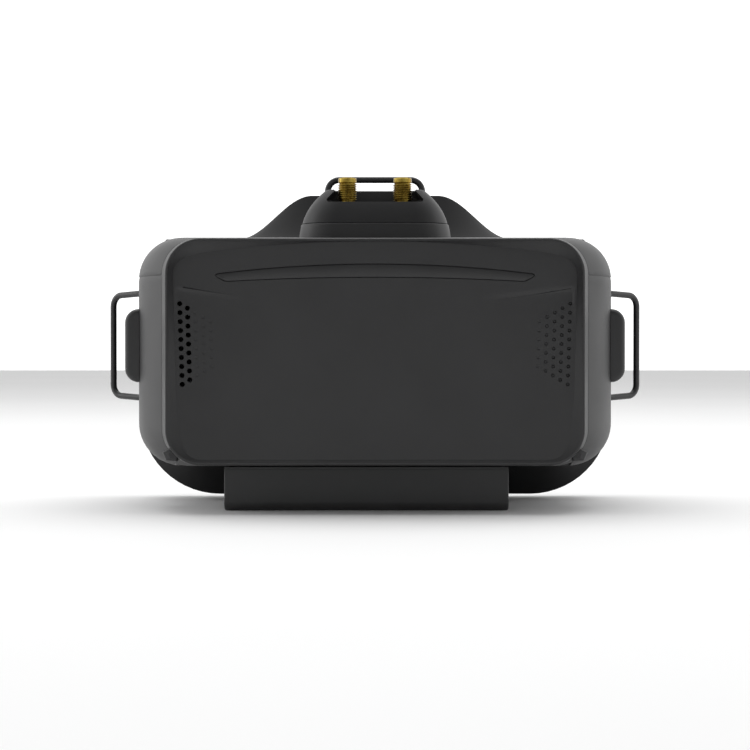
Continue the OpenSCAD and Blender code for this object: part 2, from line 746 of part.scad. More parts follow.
wire_r = wire_d / 2;
bend_r = 4;                          // bend radius of the wire at its centre line
pivot_bore_r = wire_r + 0.12;
side_pivot = [body_w / 2 - 0.9, body_d - 2];   // X and depth of a side loop's pivot
bracket_hh = 12.2;                     // half height of a side bracket
bracket_x = body_w / 2 + 4.0;          // outer face of a side bracket
bracket_front = 31.5;
barrel_r = 2.6;

// A closed wire loop in its own frame: pivot bar on Z, outer bar at X = reach
module wire_loop(reach, half) {
  bend = min(bend_r, reach / 2 - 0.5);
  for (x = [0, reach])
    translate([x, 0, bend - half]) cylinder(r = wire_r, h = 2 * (half - bend));
  for (z = [-half, half])
    translate([bend, 0, z]) rotate([0, 90, 0]) cylinder(r = wire_r, h = reach - 2 * bend);
  for (corner = [[reach - bend, half - bend, 0], [bend, half - bend, 90],
      [bend, bend - half, 180], [reach - bend, bend - half, 270]])
    translate([corner[0], 0, corner[1]]) rotate([90, 0, 0]) rotate([0, 0, corner[2]])
      rotate_extrude(angle = 90) translate([bend, 0]) circle(r = wire_r);
}

module side_loop()
  color("#3b3b3b") translate([side_pivot[0], y_of(side_pivot[1]), strap_z])
    rotate([0, 0, loop_rest]) wire_loop(side_loop_l, side_loop_h / 2 - wire_r);

// Two screws hold each side bracket from inside the housing
bracket_screw_at = [[43.5, 7], [43.5, -7]];   // depth and height from the strap line
module bracket_screw_rods(r, grow)
  both_sides() for (p = bracket_screw_at)
    rod_x(body_w / 2 - wall - 3.5, body_w / 2 + 2.6 + grow, p[0], strap_z + p[1], r);

module side_bracket() {
  corner = 4.6;
  pad_back = side_pivot[1] - 3.6;
  color("#3d3d3d") difference() {
    union() {
      hull() for (sz = [-1, 1]) {
        rod_y(bracket_x - corner, strap_z + sz * (bracket_hh - corner), corner, bracket_front + 1.1, pad_back - 1.1, $fn = 32);
        rod_y(bracket_x - corner, strap_z + sz * (bracket_hh - corner), corner - 1.1, bracket_front, pad_back, $fn = 32);
        rod_y(bracket_x - 2.5 * corner, strap_z + sz * (bracket_hh - 1.1), 1.1, bracket_front, pad_back, $fn = 32);
      }
      translate([side_pivot[0], y_of(side_pivot[1]), strap_z - bracket_hh]) cylinder(r = barrel_r, h = 2 * bracket_hh);
      block([side_pivot[0] - 1.6, pad_back - 2, strap_z - bracket_hh + 1],
        [side_pivot[0] + 1.6, side_pivot[1], strap_z + bracket_hh - 1]);
    }
    body_solid(seat);
    translate([side_pivot[0], y_of(side_pivot[1]), strap_z - 20]) cylinder(r = pivot_bore_r, h = 40);
    for (p = bracket_screw_at)
      rod_x(body_w / 2 - 9, body_w / 2 + 3, p[0], strap_z + p[1], pilot_r);
  }
}

module bracket_screws()
  color("#8c8f94") both_sides() for (p = bracket_screw_at) {
    inner_x = body_hw(p[0]) - wall - 0.5;
    rod_x(inner_x - 1.3, inner_x, p[0], strap_z + p[1], 1.9);
    rod_x(inner_x - 0.1, body_w / 2 + 2.4, p[0], strap_z + p[1], screw_r);
  }

top_pivot = [body_d + 5.5, frame_top + hump_h - 7.3];   // depth and height of the top loop's pivot
top_bracket_hw = 12;

module top_loop()
  color("#3b3b3b") translate([0, y_of(top_pivot[0]), top_pivot[1]])
    rotate([0, -90, 0]) wire_loop(top_loop_l, top_loop_w / 2 - wire_r);

// The face frame's front surface as one solid, for seating the top bracket on it
module frame_front_solid(grow)
  loft([
    ring_at(body_outline(body_d, 0.2 - grow), body_d + 0.05 - grow),
    ring_at(frame_outline(-grow), frame_d - grow),
    ring_at(frame_outline(-grow), frame_d + 3)]);

module top_loop_bracket()
  color("#3d3d3d") difference() {
    union() {
      rod_x(-top_bracket_hw, top_bracket_hw, top_pivot[0], top_pivot[1], barrel_r);
      block([-top_bracket_hw, top_pivot[0] - barrel_r, top_pivot[1] - 8],
        [top_bracket_hw, top_pivot[0] + 6, top_pivot[1]]);
    }
    frame_front_solid(seat);
    rod_x(-20, 20, top_pivot[0], top_pivot[1], pivot_bore_r);
  }

// ---- battery pack ---------------------------------------------------------------------------

pack_front = rest_d - pack_d / 2;
pack_back = rest_d + pack_d / 2;
lid_t = 4.6;
lid_z = pack_h - lid_t;
tray_wall = 1.6;
pack_r = 3;

// Section of the pack across its length, with rounded lower edges, moved inwards by inset
function pack_section(inset) = let (r = max(0.6, pack_r - inset), hd = pack_d / 2 - inset) concat(
  [for (a = [180:15:270]) [r - hd + r * cos(a), inset + r + r * sin(a)]],
  [for (a = [270:15:360]) [hd - r + r * cos(a), inset + r + r * sin(a)]],
  [[hd, pack_h], [-hd, pack_h]]);

// Section of the pack along its length, with a slight draft and small lower corners
function pack_long(inset) = let (hl = pack_l / 2 - inset, draft = 0.3) [
  [draft + 0.5 - hl, inset], [hl - draft - 0.5, inset], [hl - draft, inset + 0.5],
  [hl, inset + 6], [hl, pack_h], [-hl, pack_h], [-hl, inset + 6], [draft - hl, inset + 0.5]];

module pack_body(inset)
  intersection() {
    translate([pack_x - pack_l / 2, 0, 0]) rotate([90, 0, 90]) linear_extrude(pack_l) polygon(pack_section(inset));
    translate([pack_x, pack_d / 2, 0]) rotate([90, 0, 0]) linear_extrude(pack_d) polygon(pack_long(inset));
  }

// The slots that the housing's rails run in, open at the pack's right end, and the contacts' trench
module pack_slots() {
  intersection() {
    rail(gap);
    block([rail_span[0] - gap, 0, 0], [big, big, big]);
  }
  block([contact_x[0] - 4, contact_d[0] - 1.5, pack_h - 1.8], [big, contact_d[1] + 1.5, big]);
}

// The pack's inside, inset from its outer faces
module pack_hollow(inset, z0, z1)
  block([pack_end[0] + inset, pack_front + inset, z0], [pack_end[1] - inset, pack_back - inset, z1]);

ledge = 1.2;                           // ledge inside the tray that the lid rests on

module battery_tray()
  color("#363636") difference() {
    pack_body(0);
    pack_hollow(tray_wall, lid_z, big);
    pack_hollow(tray_wall + ledge, tray_wall, lid_z + 1);
    pack_slots();
  }

module battery_lid()
  color("#343434") difference() {
    pack_hollow(tray_wall + seat, lid_z + 0.02, pack_h);
    pack_slots();
  }

module battery_cells() {
  room = tray_wall + ledge + 0.3;
  cell_l = (pack_l - 2 * room - 0.6) / 2;
  color("#8f9396") for (i = [0, 1])
    block([pack_end[0] + room + i * (cell_l + 0.6), pack_front + room, tray_wall + 0.05],
      [pack_end[0] + room + i * (cell_l + 0.6) + cell_l, pack_back - room, lid_z - 0.1]);
}

// Contacts between pack and housing: blades in a block in the housing's floor, and pads on the pack
contact_x = [-12, -9, -6];
contact_d = [36, 40];                  // depths of the front and the back of each blade

module contact_hole(inset, z0, z1)
  block([contact_x[0] - 3 + inset, contact_d[0] - 1.5 + inset, z0],
    [contact_x[2] + 3 - inset, contact_d[1] + 1.5 - inset, z1]);

module contact_blades()
  color("#b8902c") for (x = contact_x)
    block([x - 0.6, contact_d[0], pack_h - 1.5], [x + 0.6, contact_d[1], floor_z + 5]);

module contact_block()
  color("#1f1f1f") difference() {
    contact_hole(seat, floor_z + 0.4, floor_z + 4);
    for (x = contact_x)
      block([x - 0.6, contact_d[0], 0], [x + 0.6, contact_d[1], big]);
  }

module pack_terminals()
  color("#b8902c") for (x = contact_x)
    block([x - 1, contact_d[0], pack_h - 1.8], [x + 1, contact_d[1], pack_h - 1.6]);

// ---- ports and power button -----------------------------------------------------------------

data_size = [3.4, 9.2];                // the data port's shell: width and length
card_size = [2.6, 12.6];
port_depth = floor_z + wall;           // the ports' mouths lie level with the housing's inner floor
board_x = [58, 68];                    // inner and outer edge of a port board

module port_shell(x, d, size, grow, z0, z1)
  block([x - size[0] / 2 - grow, d - size[1] / 2 - grow, z0], [x + size[0] / 2 + grow, d + size[1] / 2 + grow, z1]);

module port_board(d0, d1)
  color("#1d5b3a") block([board_x[0], d0, port_z], [board_x[1], d1, port_z + 1.6]);

module round_socket(d, r, half, pin_r) {
  color("#1f1f1f") difference() {
    union() {
      translate([port_x - half, y_of(d) - half, port_depth + 1.5]) cube([2 * half, 2 * half, port_z - port_depth - 1.5]);
      translate([port_x, y_of(d), floor_z + 0.8]) cylinder(r = r + 0.9, h = 4);
    }
    difference() {
      translate([port_x, y_of(d), 0]) cylinder(r = r, h = port_z - 1);
      if (pin_r > 0)
        translate([port_x, y_of(d), floor_z + 3]) cylinder(r = pin_r, h = big);
    }
  }
}

module data_port()
  color("#9a9da0") difference() {
    port_shell(port_x, data_d, data_size, 0, port_depth, port_z);
    port_shell(port_x, data_d, data_size, -0.4, 0, port_z - 4);
  }

module card_slot()
  color("#9a9da0") difference() {
    port_shell(card_at[0], card_at[1], card_size, 0, port_depth, port_z);
    port_shell(card_at[0], card_at[1], card_size, -0.6, 0, port_z - 1);
  }

button_r = 3.5;
button_travel = 0.8;
switch_h = 3.6;

module power_button() {
  flange_z = port_depth + 2.2;
  color("#2a2a2a") translate([button_at[0], y_of(button_at[1]), 0]) {
    translate([0, 0, floor_z + 0.9]) cylinder(r = button_r, h = flange_z - floor_z - 0.8);
    translate([0, 0, flange_z]) cylinder(r = button_r + 1.1, h = 0.9);
    translate([0, 0, flange_z + 0.8]) cylinder(r = 1.5, h = port_z - switch_h - button_travel - 1 - flange_z);
  }
}

module power_switch()
  color("#1f1f1f") block([button_at[0] - 3, button_at[1] - 3, port_z - switch_h],
    [button_at[0] + 3, button_at[1] + 3, port_z]);

// ---- nodes ----------------------------------------------------------------------------------

front_cover();
trim_strip();
upper_housing();
lower_housing();
housing_screws();
module_case();
module_board();
module_plug();
antenna_connector(-sma_pitch / 2);  // left_antenna_connector
antenna_connector(sma_pitch / 2);  // right_antenna_connector
bay_board();
bay_socket();
bay_screws();
face_frame();
frame_screws();
face_foam();
lens();
light_tunnel();
display_panel();
display_frame();
main_board();
board_screws();
shield_can();
processor();
fan_frame();
fan_rotor();
fan_screws();
mirror([1, 0, 0]) jog_housing();  // left_jog_housing
jog_housing();  // right_jog_housing
mirror([1, 0, 0]) jog_wheel();  // left_jog_wheel
jog_wheel();  // right_jog_wheel
mirror([1, 0, 0]) side_bracket();  // left_strap_bracket
side_bracket();  // right_strap_bracket
mirror([1, 0, 0]) side_loop();  // left_strap_loop
side_loop();  // right_strap_loop
bracket_screws();
top_loop_bracket();
top_loop();  // top_strap_loop
battery_tray();
battery_lid();
battery_cells();
pack_terminals();
contact_block();
contact_blades();
mirror([1, 0, 0]) port_board(14, 44);  // left_port_board
port_board(12, 40);  // right_port_board
round_socket(video_d, video_r, 3, 0);  // video_socket
round_socket(supply_d, supply_r, 3.9, 1);  // power_socket
data_port();
card_slot();
power_button();
power_switch();
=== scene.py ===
import math

import bmesh
import bpy
from bpy.props import FloatProperty, FloatVectorProperty, PointerProperty
from mathutils import Matrix, Vector


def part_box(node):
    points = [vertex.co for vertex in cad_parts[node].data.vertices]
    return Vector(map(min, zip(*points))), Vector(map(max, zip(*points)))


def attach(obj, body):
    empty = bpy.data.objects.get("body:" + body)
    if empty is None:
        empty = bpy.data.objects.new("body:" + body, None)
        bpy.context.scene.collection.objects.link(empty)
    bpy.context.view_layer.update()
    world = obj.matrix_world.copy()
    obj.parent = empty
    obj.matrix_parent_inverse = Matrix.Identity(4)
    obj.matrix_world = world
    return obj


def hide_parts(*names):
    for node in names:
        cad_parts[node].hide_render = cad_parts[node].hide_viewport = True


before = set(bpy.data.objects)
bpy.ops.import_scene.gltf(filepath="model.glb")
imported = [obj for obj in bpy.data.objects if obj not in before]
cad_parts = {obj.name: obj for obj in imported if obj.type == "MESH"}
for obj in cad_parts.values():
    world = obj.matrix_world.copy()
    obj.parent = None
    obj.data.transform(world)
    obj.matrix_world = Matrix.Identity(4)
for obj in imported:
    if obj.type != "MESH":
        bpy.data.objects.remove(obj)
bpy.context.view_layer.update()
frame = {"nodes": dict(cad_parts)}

bl_info = {
    "name": "Box-type FPV Goggles",
    "version": (1, 0, 0),
    "blender": (4, 5, 0),
    "location": "3D View > Sidebar > Goggles",
    "description": "Detailed shells, foam, threads and finishes for a pair of box-type FPV goggles",
    "category": "Object",
}

MM = 0.001


def box_mm(node):
    """Lowest and highest corner of a CAD node, in millimetres."""
    low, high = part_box(node)
    return [c / MM for c in low], [c / MM for c in high]


# ---- places taken from the frame, in millimetres ------------------------------------------------

FRONT_Y = box_mm("front_cover")[0][1]
LENS_LOW, LENS_HIGH = box_mm("lens")
AXIS_Z = (LENS_LOW[2] + LENS_HIGH[2]) / 2
BODY_W = 2 * box_mm("lower_housing")[1][0]
FLOOR_Z = box_mm("lower_housing")[0][2] + 2.6
BODY_H = 2 * (AXIS_Z - FLOOR_Z)
FRAME_W = 2 * box_mm("face_frame")[1][0]
PACK_LOW, PACK_HIGH = box_mm("battery_tray")
ROOF_Z = box_mm("module_case")[1][2]
SMA_TOP = box_mm("right_antenna_connector")[1][2]

COVER_D, WIDE_D, BODY_D = 8.0, 42.0, 58.0
FRONT_W, FRONT_H, FRONT_R = 133.8, 72.4, 11.4
BODY_R, TUCK, WALL = 14.0, 5.7, 2.2
FRAME_D, RIM_D, WRAP = 74.0, 78.0, 10.0
FRAME_TOP, FRAME_BOTTOM = AXIS_Z + 39.4, AXIS_Z - 50.1
HUMP_RISE = 15.2
SEAM_Z = AXIS_Z + 24.7
BAY_Z = AXIS_Z + 42.2
LEDGE_Z = ROOF_Z - 4.3
TOWER_FOOT = AXIS_Z + BODY_H / 2 - 6
STRAP_Z = AXIS_Z + 2
SIDE_PIVOT = (BODY_W / 2 - 0.9, BODY_D - 2)
TOP_PIVOT = (BODY_D + 5.5, FRAME_TOP + HUMP_RISE - 7.3)
SMA_X, SMA_D = 9.1, 29.6
RAIL_DEPTHS = (27, 49)
FOAM_W, FOAM_T = 13.0, 12.0


def y_of(depth):
    """Y of a depth behind the front rim."""
    return FRONT_Y + depth


# ---- sizes and colours that a user may change ---------------------------------------------------


def length(label, about, value):
    return FloatProperty(name=label, description=about, default=value * MM, unit="LENGTH", min=0.0)


def colour(label, about, code):
    parts = [int(code[i:i + 2], 16) / 255 for i in (1, 3, 5)]
    return FloatVectorProperty(name=label, description=about, subtype="COLOR_GAMMA", size=3, min=0, max=1,
                               default=parts)


class GogglesSizes(bpy.types.PropertyGroup):
    top_border: length("Top border", "Width of the cover's border in the middle of its top edge", 1.0)
    corner_border: length("Corner border", "How much wider the top border is near the corners", 4.1)
    low_border: length("Bottom border", "Width of the cover's border along its bottom edge", 1.9)
    low_recess: length("Bottom recess", "Depth of the front panel along its bottom edge", 0.7)
    top_recess: length("Top recess", "Depth of the front panel in the middle of its top edge", 1.0)
    crown: length("Panel crown", "How much deeper the panel lies at its upper corners", 1.9)
    seam: length("Seam chamfer", "Chamfer along the joints between the shells", 0.2)
    foam_swell: length("Foam swell", "Furthest that the face foam swells from its starting shape", 1.4)
    thread_pitch: length("Thread pitch", "Pitch of the antenna connectors' thread", 0.706)
    grain: length("Moulded grain", "Size of the grain on the shells", 0.35)


class GogglesColours(bpy.types.PropertyGroup):
    shell: colour("Shell", "Colour of the matte shells", "#1E1E1F")
    shell_light: colour("Shell, worn", "Lighter tone in the shells' grain", "#262627")
    # The face frame's colour is painted shade: darker than the shells' so that the frame and its forehead
    # hump read as shaded.
    frame: colour("Face frame", "Colour of the face frame", "#131314")
    foam: colour("Face foam", "Colour of the face foam's cover", "#1B1B1D")
    wire: colour("Loop wire", "Colour of the coated strap loops", "#19191A")
    brass: colour("Connector brass", "Colour of the threaded antenna connectors", "#A08B42")
    board: colour("Circuit boards", "Colour of the solder mask", "#124A2E")


def sizes():
    return bpy.context.scene.goggles_sizes


def hues():
    return bpy.context.scene.goggles_colours


# ---- mesh tools ---------------------------------------------------------------------------------


def finish_mesh(piece, angle=32):
    """Outward faces, smooth shading, and sharp edges where faces meet at more than the angle."""
    work = bmesh.new()
    work.from_mesh(piece.data)
    bmesh.ops.remove_doubles(work, verts=work.verts, dist=1e-7)
    bmesh.ops.recalc_face_normals(work, faces=work.faces)
    work.to_mesh(piece.data)
    work.free()
    piece.data.polygons.foreach_set("use_smooth", [True] * len(piece.data.polygons))
    piece.data.set_sharp_from_angle(angle=math.radians(angle))
    return piece


def new_piece(name, points, faces, finish=None, angle=32):
    """A mesh object from points in millimetres."""
    mesh = bpy.data.meshes.new(name)
    mesh.from_pydata([Vector(p) * MM for p in points], [], faces)
    piece = bpy.data.objects.new(name, mesh)
    bpy.context.scene.collection.objects.link(piece)
    if finish:
        mesh.materials.append(finish)
    return finish_mesh(piece, angle)


def settle(piece):
    """Turns a piece's modifiers into its own mesh."""
    graph = bpy.context.evaluated_depsgraph_get()
    old = piece.data
    mesh = bpy.data.meshes.new_from_object(piece.evaluated_get(graph))
    piece.modifiers.clear()
    piece.data = mesh
    mesh.name = old.name
    bpy.data.meshes.remove(old)
    return piece


def combine(piece, other, how="DIFFERENCE"):
    """Cuts another mesh out of a piece, or joins it to the piece."""
    step = piece.modifiers.new("combine", "BOOLEAN")
    step.operation = how
    step.solver = "EXACT"
    step.object = other
    settle(piece)
    bpy.data.objects.remove(other)
    return piece


def soften(piece, width, segments=2, angle=35):
    """Rounds the piece's sharp edges, as a mould does."""
    step = piece.modifiers.new("soften", "BEVEL")
    step.width = width * MM
    step.segments = segments
    step.limit_method = "ANGLE"
    step.angle_limit = math.radians(angle)
    settle(piece)
    return finish_mesh(piece)


def join(pieces):
    """Makes one object of several separate solids."""
    first = pieces[0]
    with bpy.context.temp_override(active_object=first, selected_editable_objects=pieces):
        bpy.ops.object.join()
    return first


def mirrored(piece, name):
    """A copy of a piece across the plane of symmetry."""
    other = piece.copy()
    other.data = piece.data.copy()
    other.name = name
    other.data.name = name
    other.data.transform(Matrix.Scale(-1, 4, (1, 0, 0)))
    other.data.flip_normals()
    bpy.context.scene.collection.objects.link(other)
    return finish_mesh(other)


def loft(rings, ends="cap"):
    """Points and faces of a skin over rings of equal length. Its ends are capped, or joined to each
    other ("tube"), or filled in strips where each ring runs out on one face and back on the other."""
    n, m = len(rings[0]), len(rings)
    faces = []
    for i in range(m if ends == "tube" else m - 1):
        a, b = i * n, (i + 1) % m * n
        faces += [(a + j, a + (j + 1) % n, b + (j + 1) % n, b + j) for j in range(n)]
    if ends == "cap":
        faces += [tuple(range(n)), tuple((m - 1) * n + j for j in range(n))]
    if ends == "strip":
        for base in (0, (m - 1) * n):
            faces += [(base + j, base + j + 1, base + n - 2 - j, base + n - 1 - j) for j in range(n // 2 - 1)]
    return [p for ring in rings for p in ring], faces


def prism(outline, axis, low, high):
    """A straight solid over a flat outline; the outline's two numbers are the axes other than axis."""
    def point(u, v, w):
        return {"x": (w, u, v), "y": (u, w, v), "z": (u, v, w)}[axis]
    return loft([[point(u, v, low) for u, v in outline], [point(u, v, high) for u, v in outline]])


def block(low, high):
    corners = [(low[0], low[1]), (high[0], low[1]), (high[0], high[1]), (low[0], high[1])]
    return new_piece("block", *prism(corners, "z", low[2], high[2]))


def circle(u, v, r, steps=40):
    angles = [math.tau * i / steps for i in range(steps)]
    return [(u + r * math.cos(a), v + r * math.sin(a)) for a in angles]


def level_circles(x, y, spots, steps=40):
    """Level circles about one upright axis, from (radius, height) pairs."""
    return [[(u, v, z) for u, v in circle(x, y, r, steps)] for r, z in spots]


def rod(name, u, v, r, axis, low, high, steps=40):
    return new_piece(name, *prism(circle(u, v, r, steps), axis, low, high))


def polar(u, v, r, degrees):
    a = math.radians(degrees)
    return u + r * math.cos(a), v + r * math.sin(a)


def part_way(near, far, share):
    """The outline part of the way from one outline to another of equal length."""
    return [(a + (c - a) * share, b + (d - b) * share) for (a, b), (c, d) in zip(near, far)]


# ---- section shapes -----------------------------------------------------------------------------


def bell(x, flat, run):
    """1 over the flat middle, falling smoothly to 0 within the run beside it."""
    u = (abs(x) - flat) / run
    return 1 if u <= 0 else 0 if u >= 1 else (1 + math.cos(math.pi * u)) / 2


def arc(cx, cz, r, start, steps):
    return [polar(cx, cz, r, start + 90 * i / steps) for i in range(steps + 1)]


def outline(hw, top, bottom, rt, rb, hump=(0, 1, 1), notch=(0, 1, 1), corner=14, edge=72, side=12):
    """Rounded section, anticlockwise from just above the middle of its right side. Its point i lies
    above or below its point n-1-i."""
    def level(x, base, rise):
        return base + rise[0] * bell(x, rise[1], rise[2])
    upper, lower = top - rt, bottom + rb
    middle, half_side = (upper + lower) / 2, (upper - lower) / 2
    rises = [half_side * (i + 0.5) / side for i in range(side)]
    shares = [1 - 2 * i / edge for i in range(1, edge)]
    right_up = [(hw, middle + rise) for rise in rises] + arc(hw - rt, upper, rt, 0, corner)[1:]
    left_up = [(-x, z) for x, z in reversed(right_up)]
    top_run = [((hw - rt) * u, level((hw - rt) * u, top, hump)) for u in shares]
    right_low = [(hw, middle - rise) for rise in rises]
    right_low += [(x, bottom + rb - (z - upper)) for x, z in arc(hw - rb, upper, rb, 0, corner)[1:]]
    low_run = [((rb - hw) * u, level((rb - hw) * u, bottom, notch)) for u in shares]
    left_low = [(-x, z) for x, z in right_low]
    return right_up + top_run + left_up + left_low + low_run + right_low[::-1]


def shrink(d, full):
    """How far a size has drawn in at depth d, out of its full amount at the front cover."""
    return full * ((d - WIDE_D) / (WIDE_D - COVER_D)) ** 2


def body_outline(d, inset=0.0, **steps):
    """Section of the housing at depth d."""
    hw = BODY_W / 2 - (shrink(d, BODY_W / 2 - FRONT_W / 2 - 1.6) if d <= WIDE_D
                       else TUCK * ((d - WIDE_D) / (BODY_D - WIDE_D)) ** 2)
    hh = BODY_H / 2 - shrink(d, BODY_H / 2 - FRONT_H / 2 - 0.3)
    r = BODY_R - shrink(d, BODY_R - FRONT_R - 0.5)
    return outline(hw - inset, AXIS_Z + hh - inset, AXIS_Z - hh + inset, r - inset, r - inset, **steps)


def front_outline(inset, **steps):
    """Outline of the cover's front rim."""
    r, hh = max(1, FRONT_R - inset), FRONT_H / 2
    return outline(FRONT_W / 2 - inset, AXIS_Z + hh - inset, AXIS_Z - hh + inset, r, r, **steps)


def frame_outline(inset, **steps):
    """Outline of the face frame's rim, with the forehead hump and the nose cut-out."""
    r = 28 - inset * 0.8
    hump = (HUMP_RISE, max(4, 22 - inset * 0.5), 26)
    nose = (23 - inset * 0.2, 9 + inset * 0.5, 18 + inset * 0.5)
    return outline(FRAME_W / 2 - inset, FRAME_TOP - inset, FRAME_BOTTOM + inset, r, r, hump, nose, **steps)


def ring(points, d, bow=0.0):
    """An outline stood up at depth d, bent back by bow at the frame's full width."""
    return [(x, y_of(d + bow * (2 * x / FRAME_W) ** 2), z) for x, z in points]


def tower_outline(z, inset=0.0):
    """Level section of the receiver's tower, which draws in towards its roof."""
    k = ((z - TOWER_FOOT) / (ROOF_Z - TOWER_FOOT)) ** 3
    front, back = y_of(21.5 + 5.4 * k + inset), y_of(57 - 2 * k - inset)
    section = outline(25.4 - 9 * k - inset, back, front, 6 - inset / 2, 12.2 - 6 * k - inset, edge=36)
    return [(x, y, z) for x, y in section]


def housing_solid(grow):
    depths = [COVER_D + (BODY_D - COVER_D) * i / 24 for i in range(25)]
    return new_piece("housing_solid", *loft([ring(body_outline(d, -grow), d) for d in depths]))


# ---- finishes -----------------------------------------------------------------------------------


def linear(code):
    """Linear colour from sRGB, given as a hex code or as three shares."""
    parts = [int(code[i:i + 2], 16) / 255 for i in (1, 3, 5)] if isinstance(code, str) else list(code)
    return [c / 12.92 if c <= 0.04045 else ((c + 0.055) / 1.055) ** 2.4 for c in parts] + [1.0]


def put(tree, kind, inputs=None, **settings):
    """Adds a node with its settings. An input given as a socket is linked."""
    node = tree.nodes.new(kind)
    for key, value in settings.items():
        setattr(node, key, value)
    for key, value in (inputs or {}).items():
        if isinstance(value, bpy.types.NodeSocket):
            tree.links.new(value, node.inputs[key])
        else:
            node.inputs[key].default_value = value
    return node


def new_finish(name):
    """An empty node material, with object coordinates in metres."""
    finish = bpy.data.materials.new(name)
    finish.use_nodes = True
    tree = finish.node_tree
    tree.nodes.clear()
    place = put(tree, "ShaderNodeTexCoord").outputs["Object"]
    return finish, tree, place


def noise(tree, place, scale, detail):
    return put(tree, "ShaderNodeTexNoise", {"Vector": place, "Scale": scale, "Detail": detail}).outputs[0]


def relief(tree, height, strength, depth):
    """Surface relief that is depth millimetres high."""
    inputs = {"Height": height, "Strength": strength, "Distance": depth * MM}
    return put(tree, "ShaderNodeBump", inputs).outputs[0]


def close_finish(finish, tree, colour, rough, normal=None, **shader):
    inputs = {"Base Color": colour, "Roughness": rough}
    if normal is not None:
        inputs["Normal"] = normal
    inputs.update({key.replace("_", " "): value for key, value in shader.items()})
    surface = put(tree, "ShaderNodeBsdfPrincipled", inputs)
    put(tree, "ShaderNodeOutputMaterial", {"Surface": surface.outputs[0]})
    return finish


def between(tree, share, low, high, start=0.3, stop=0.7):
    """A value or colour that runs from low to high as share runs from start to stop."""
    if isinstance(low, (int, float)):
        return put(tree, "ShaderNodeMapRange", {0: share, 1: start, 2: stop, 3: low, 4: high}).outputs[0]
    ramp = put(tree, "ShaderNodeValToRGB", {0: share})
    ramp.color_ramp.elements[0].position = start
    ramp.color_ramp.elements[0].color = low
    ramp.color_ramp.elements[1].position = stop
    ramp.color_ramp.elements[1].color = high
    return ramp.outputs[0]


def moulded(name, dark, light, rough=0.5, grain=None, depth=0.02, **shader):
    """Injection-moulded plastic from a spark-eroded mould: a fine even grain scatters the gloss, and
    slow changes of tone show where the melt flowed and hands have rubbed."""
    finish, tree, place = new_finish(name)
    dark, light = dark or hues().shell, light or hues().shell_light
    grain = (grain or sizes().grain / MM) * MM
    fine = noise(tree, place, 1 / grain, 2.0)
    slow = noise(tree, place, 45.0, 3.0)
    tone = between(tree, slow, linear(dark), linear(light))
    gloss = between(tree, slow, rough - 0.04, rough + 0.05)
    bump = relief(tree, fine, 0.5, depth)
    return close_finish(finish, tree, tone, gloss, bump, IOR=1.5, **shader)


def wire_finish():
    """Powder-coated spring steel: a thin smooth coat with a soft orange-peel, glossier than the shells."""
    finish, tree, place = new_finish("powder_coated_steel_wire")
    peel = noise(tree, place, 1400.0, 1.0)
    tone = between(tree, peel, linear(hues().wire), linear("#222223"))
    bump = relief(tree, peel, 0.3, 0.03)
    return close_finish(finish, tree, tone, 0.38, bump, IOR=1.5)


def metal(name, code, dark, rough, streak=(900.0, 900.0, 900.0)):
    """Bare or plated metal: full mirror colour broken by fine tool marks, and duller where it has
    tarnished."""
    finish, tree, place = new_finish(name)
    stretched = put(tree, "ShaderNodeMapping", {"Vector": place, "Scale": streak}).outputs[0]
    marks = noise(tree, stretched, 1.0, 3.0)
    slow = noise(tree, place, 350.0, 2.0)
    tone = between(tree, slow, linear(dark), linear(code), 0.35, 0.6)
    gloss = between(tree, marks, rough - 0.06, rough + 0.1)
    bump = relief(tree, marks, 0.25, 0.02)
    return close_finish(finish, tree, tone, gloss, bump, Metallic=1.0)


def foam_finish():
    """Brushed knit laminated on foam: short fibres give a soft sheen at the edges, and the knit's
    ribs, 0.9 mm apart, are drawn a little coarser than real so that they show."""
    finish, tree, place = new_finish("brushed_knit_on_foam")
    yarn = {"Vector": place, "Scale": 320.0, "Distortion": 2.5, "Detail": 2.0, "Detail Scale": 3.0}
    ribs, rows = [put(tree, "ShaderNodeTexWave", yarn, bands_direction=axis).outputs["Fac"] for axis in "XZ"]
    knit = put(tree, "ShaderNodeMath", {0: ribs, 1: rows}, operation="MULTIPLY").outputs[0]
    fuzz = noise(tree, place, 2600.0, 2.0)
    height = put(tree, "ShaderNodeMath", {0: knit, 1: fuzz}, operation="ADD").outputs[0]
    tone = between(tree, height, linear("#101011"), linear(hues().foam), 0.2, 1.3)
    bump = relief(tree, height, 0.6, 0.15)
    return close_finish(finish, tree, tone, 0.9, bump, Sheen_Weight=0.35, Sheen_Roughness=0.5)


def lens_finish():
    """Moulded acrylic magnifier: clear, with the shallow concentric steps of a Fresnel face, drawn
    1.2 mm apart so that they show."""
    finish, tree, place = new_finish("moulded_acrylic_lens")
    axis = (0, 0, AXIS_Z * MM)
    flat = put(tree, "ShaderNodeVectorMath", {0: place, 1: axis}, operation="SUBTRACT").outputs[0]
    plane = put(tree, "ShaderNodeVectorMath", {0: flat, 1: (1, 0, 1)}, operation="MULTIPLY").outputs[0]
    rings = put(tree, "ShaderNodeTexWave", {"Vector": plane, "Scale": 265.0}, wave_type="RINGS",
                rings_direction="SPHERICAL", wave_profile="SAW").outputs["Fac"]
    bump = relief(tree, rings, 0.35, 0.08)
    tone = between(tree, rings, linear("#E9EEF0"), linear("#F5F8F9"), 0.0, 1.0)
    return close_finish(finish, tree, tone, 0.04, bump, IOR=1.49, Transmission_Weight=1.0)


def screen_finish():
    """Switched-off liquid-crystal panel: a polished glass face over a near-black bluish cell grid."""
    finish, tree, place = new_finish("display_glass")
    grid = {"Vector": place, "Scale": 1500.0, "Randomness": 0.0}
    cells = put(tree, "ShaderNodeTexVoronoi", grid).outputs[0]
    tone = between(tree, cells, linear("#07090C"), linear("#10141A"), 0.2, 0.6)
    return close_finish(finish, tree, tone, 0.06, None, IOR=1.5, Coat_Weight=0.5)


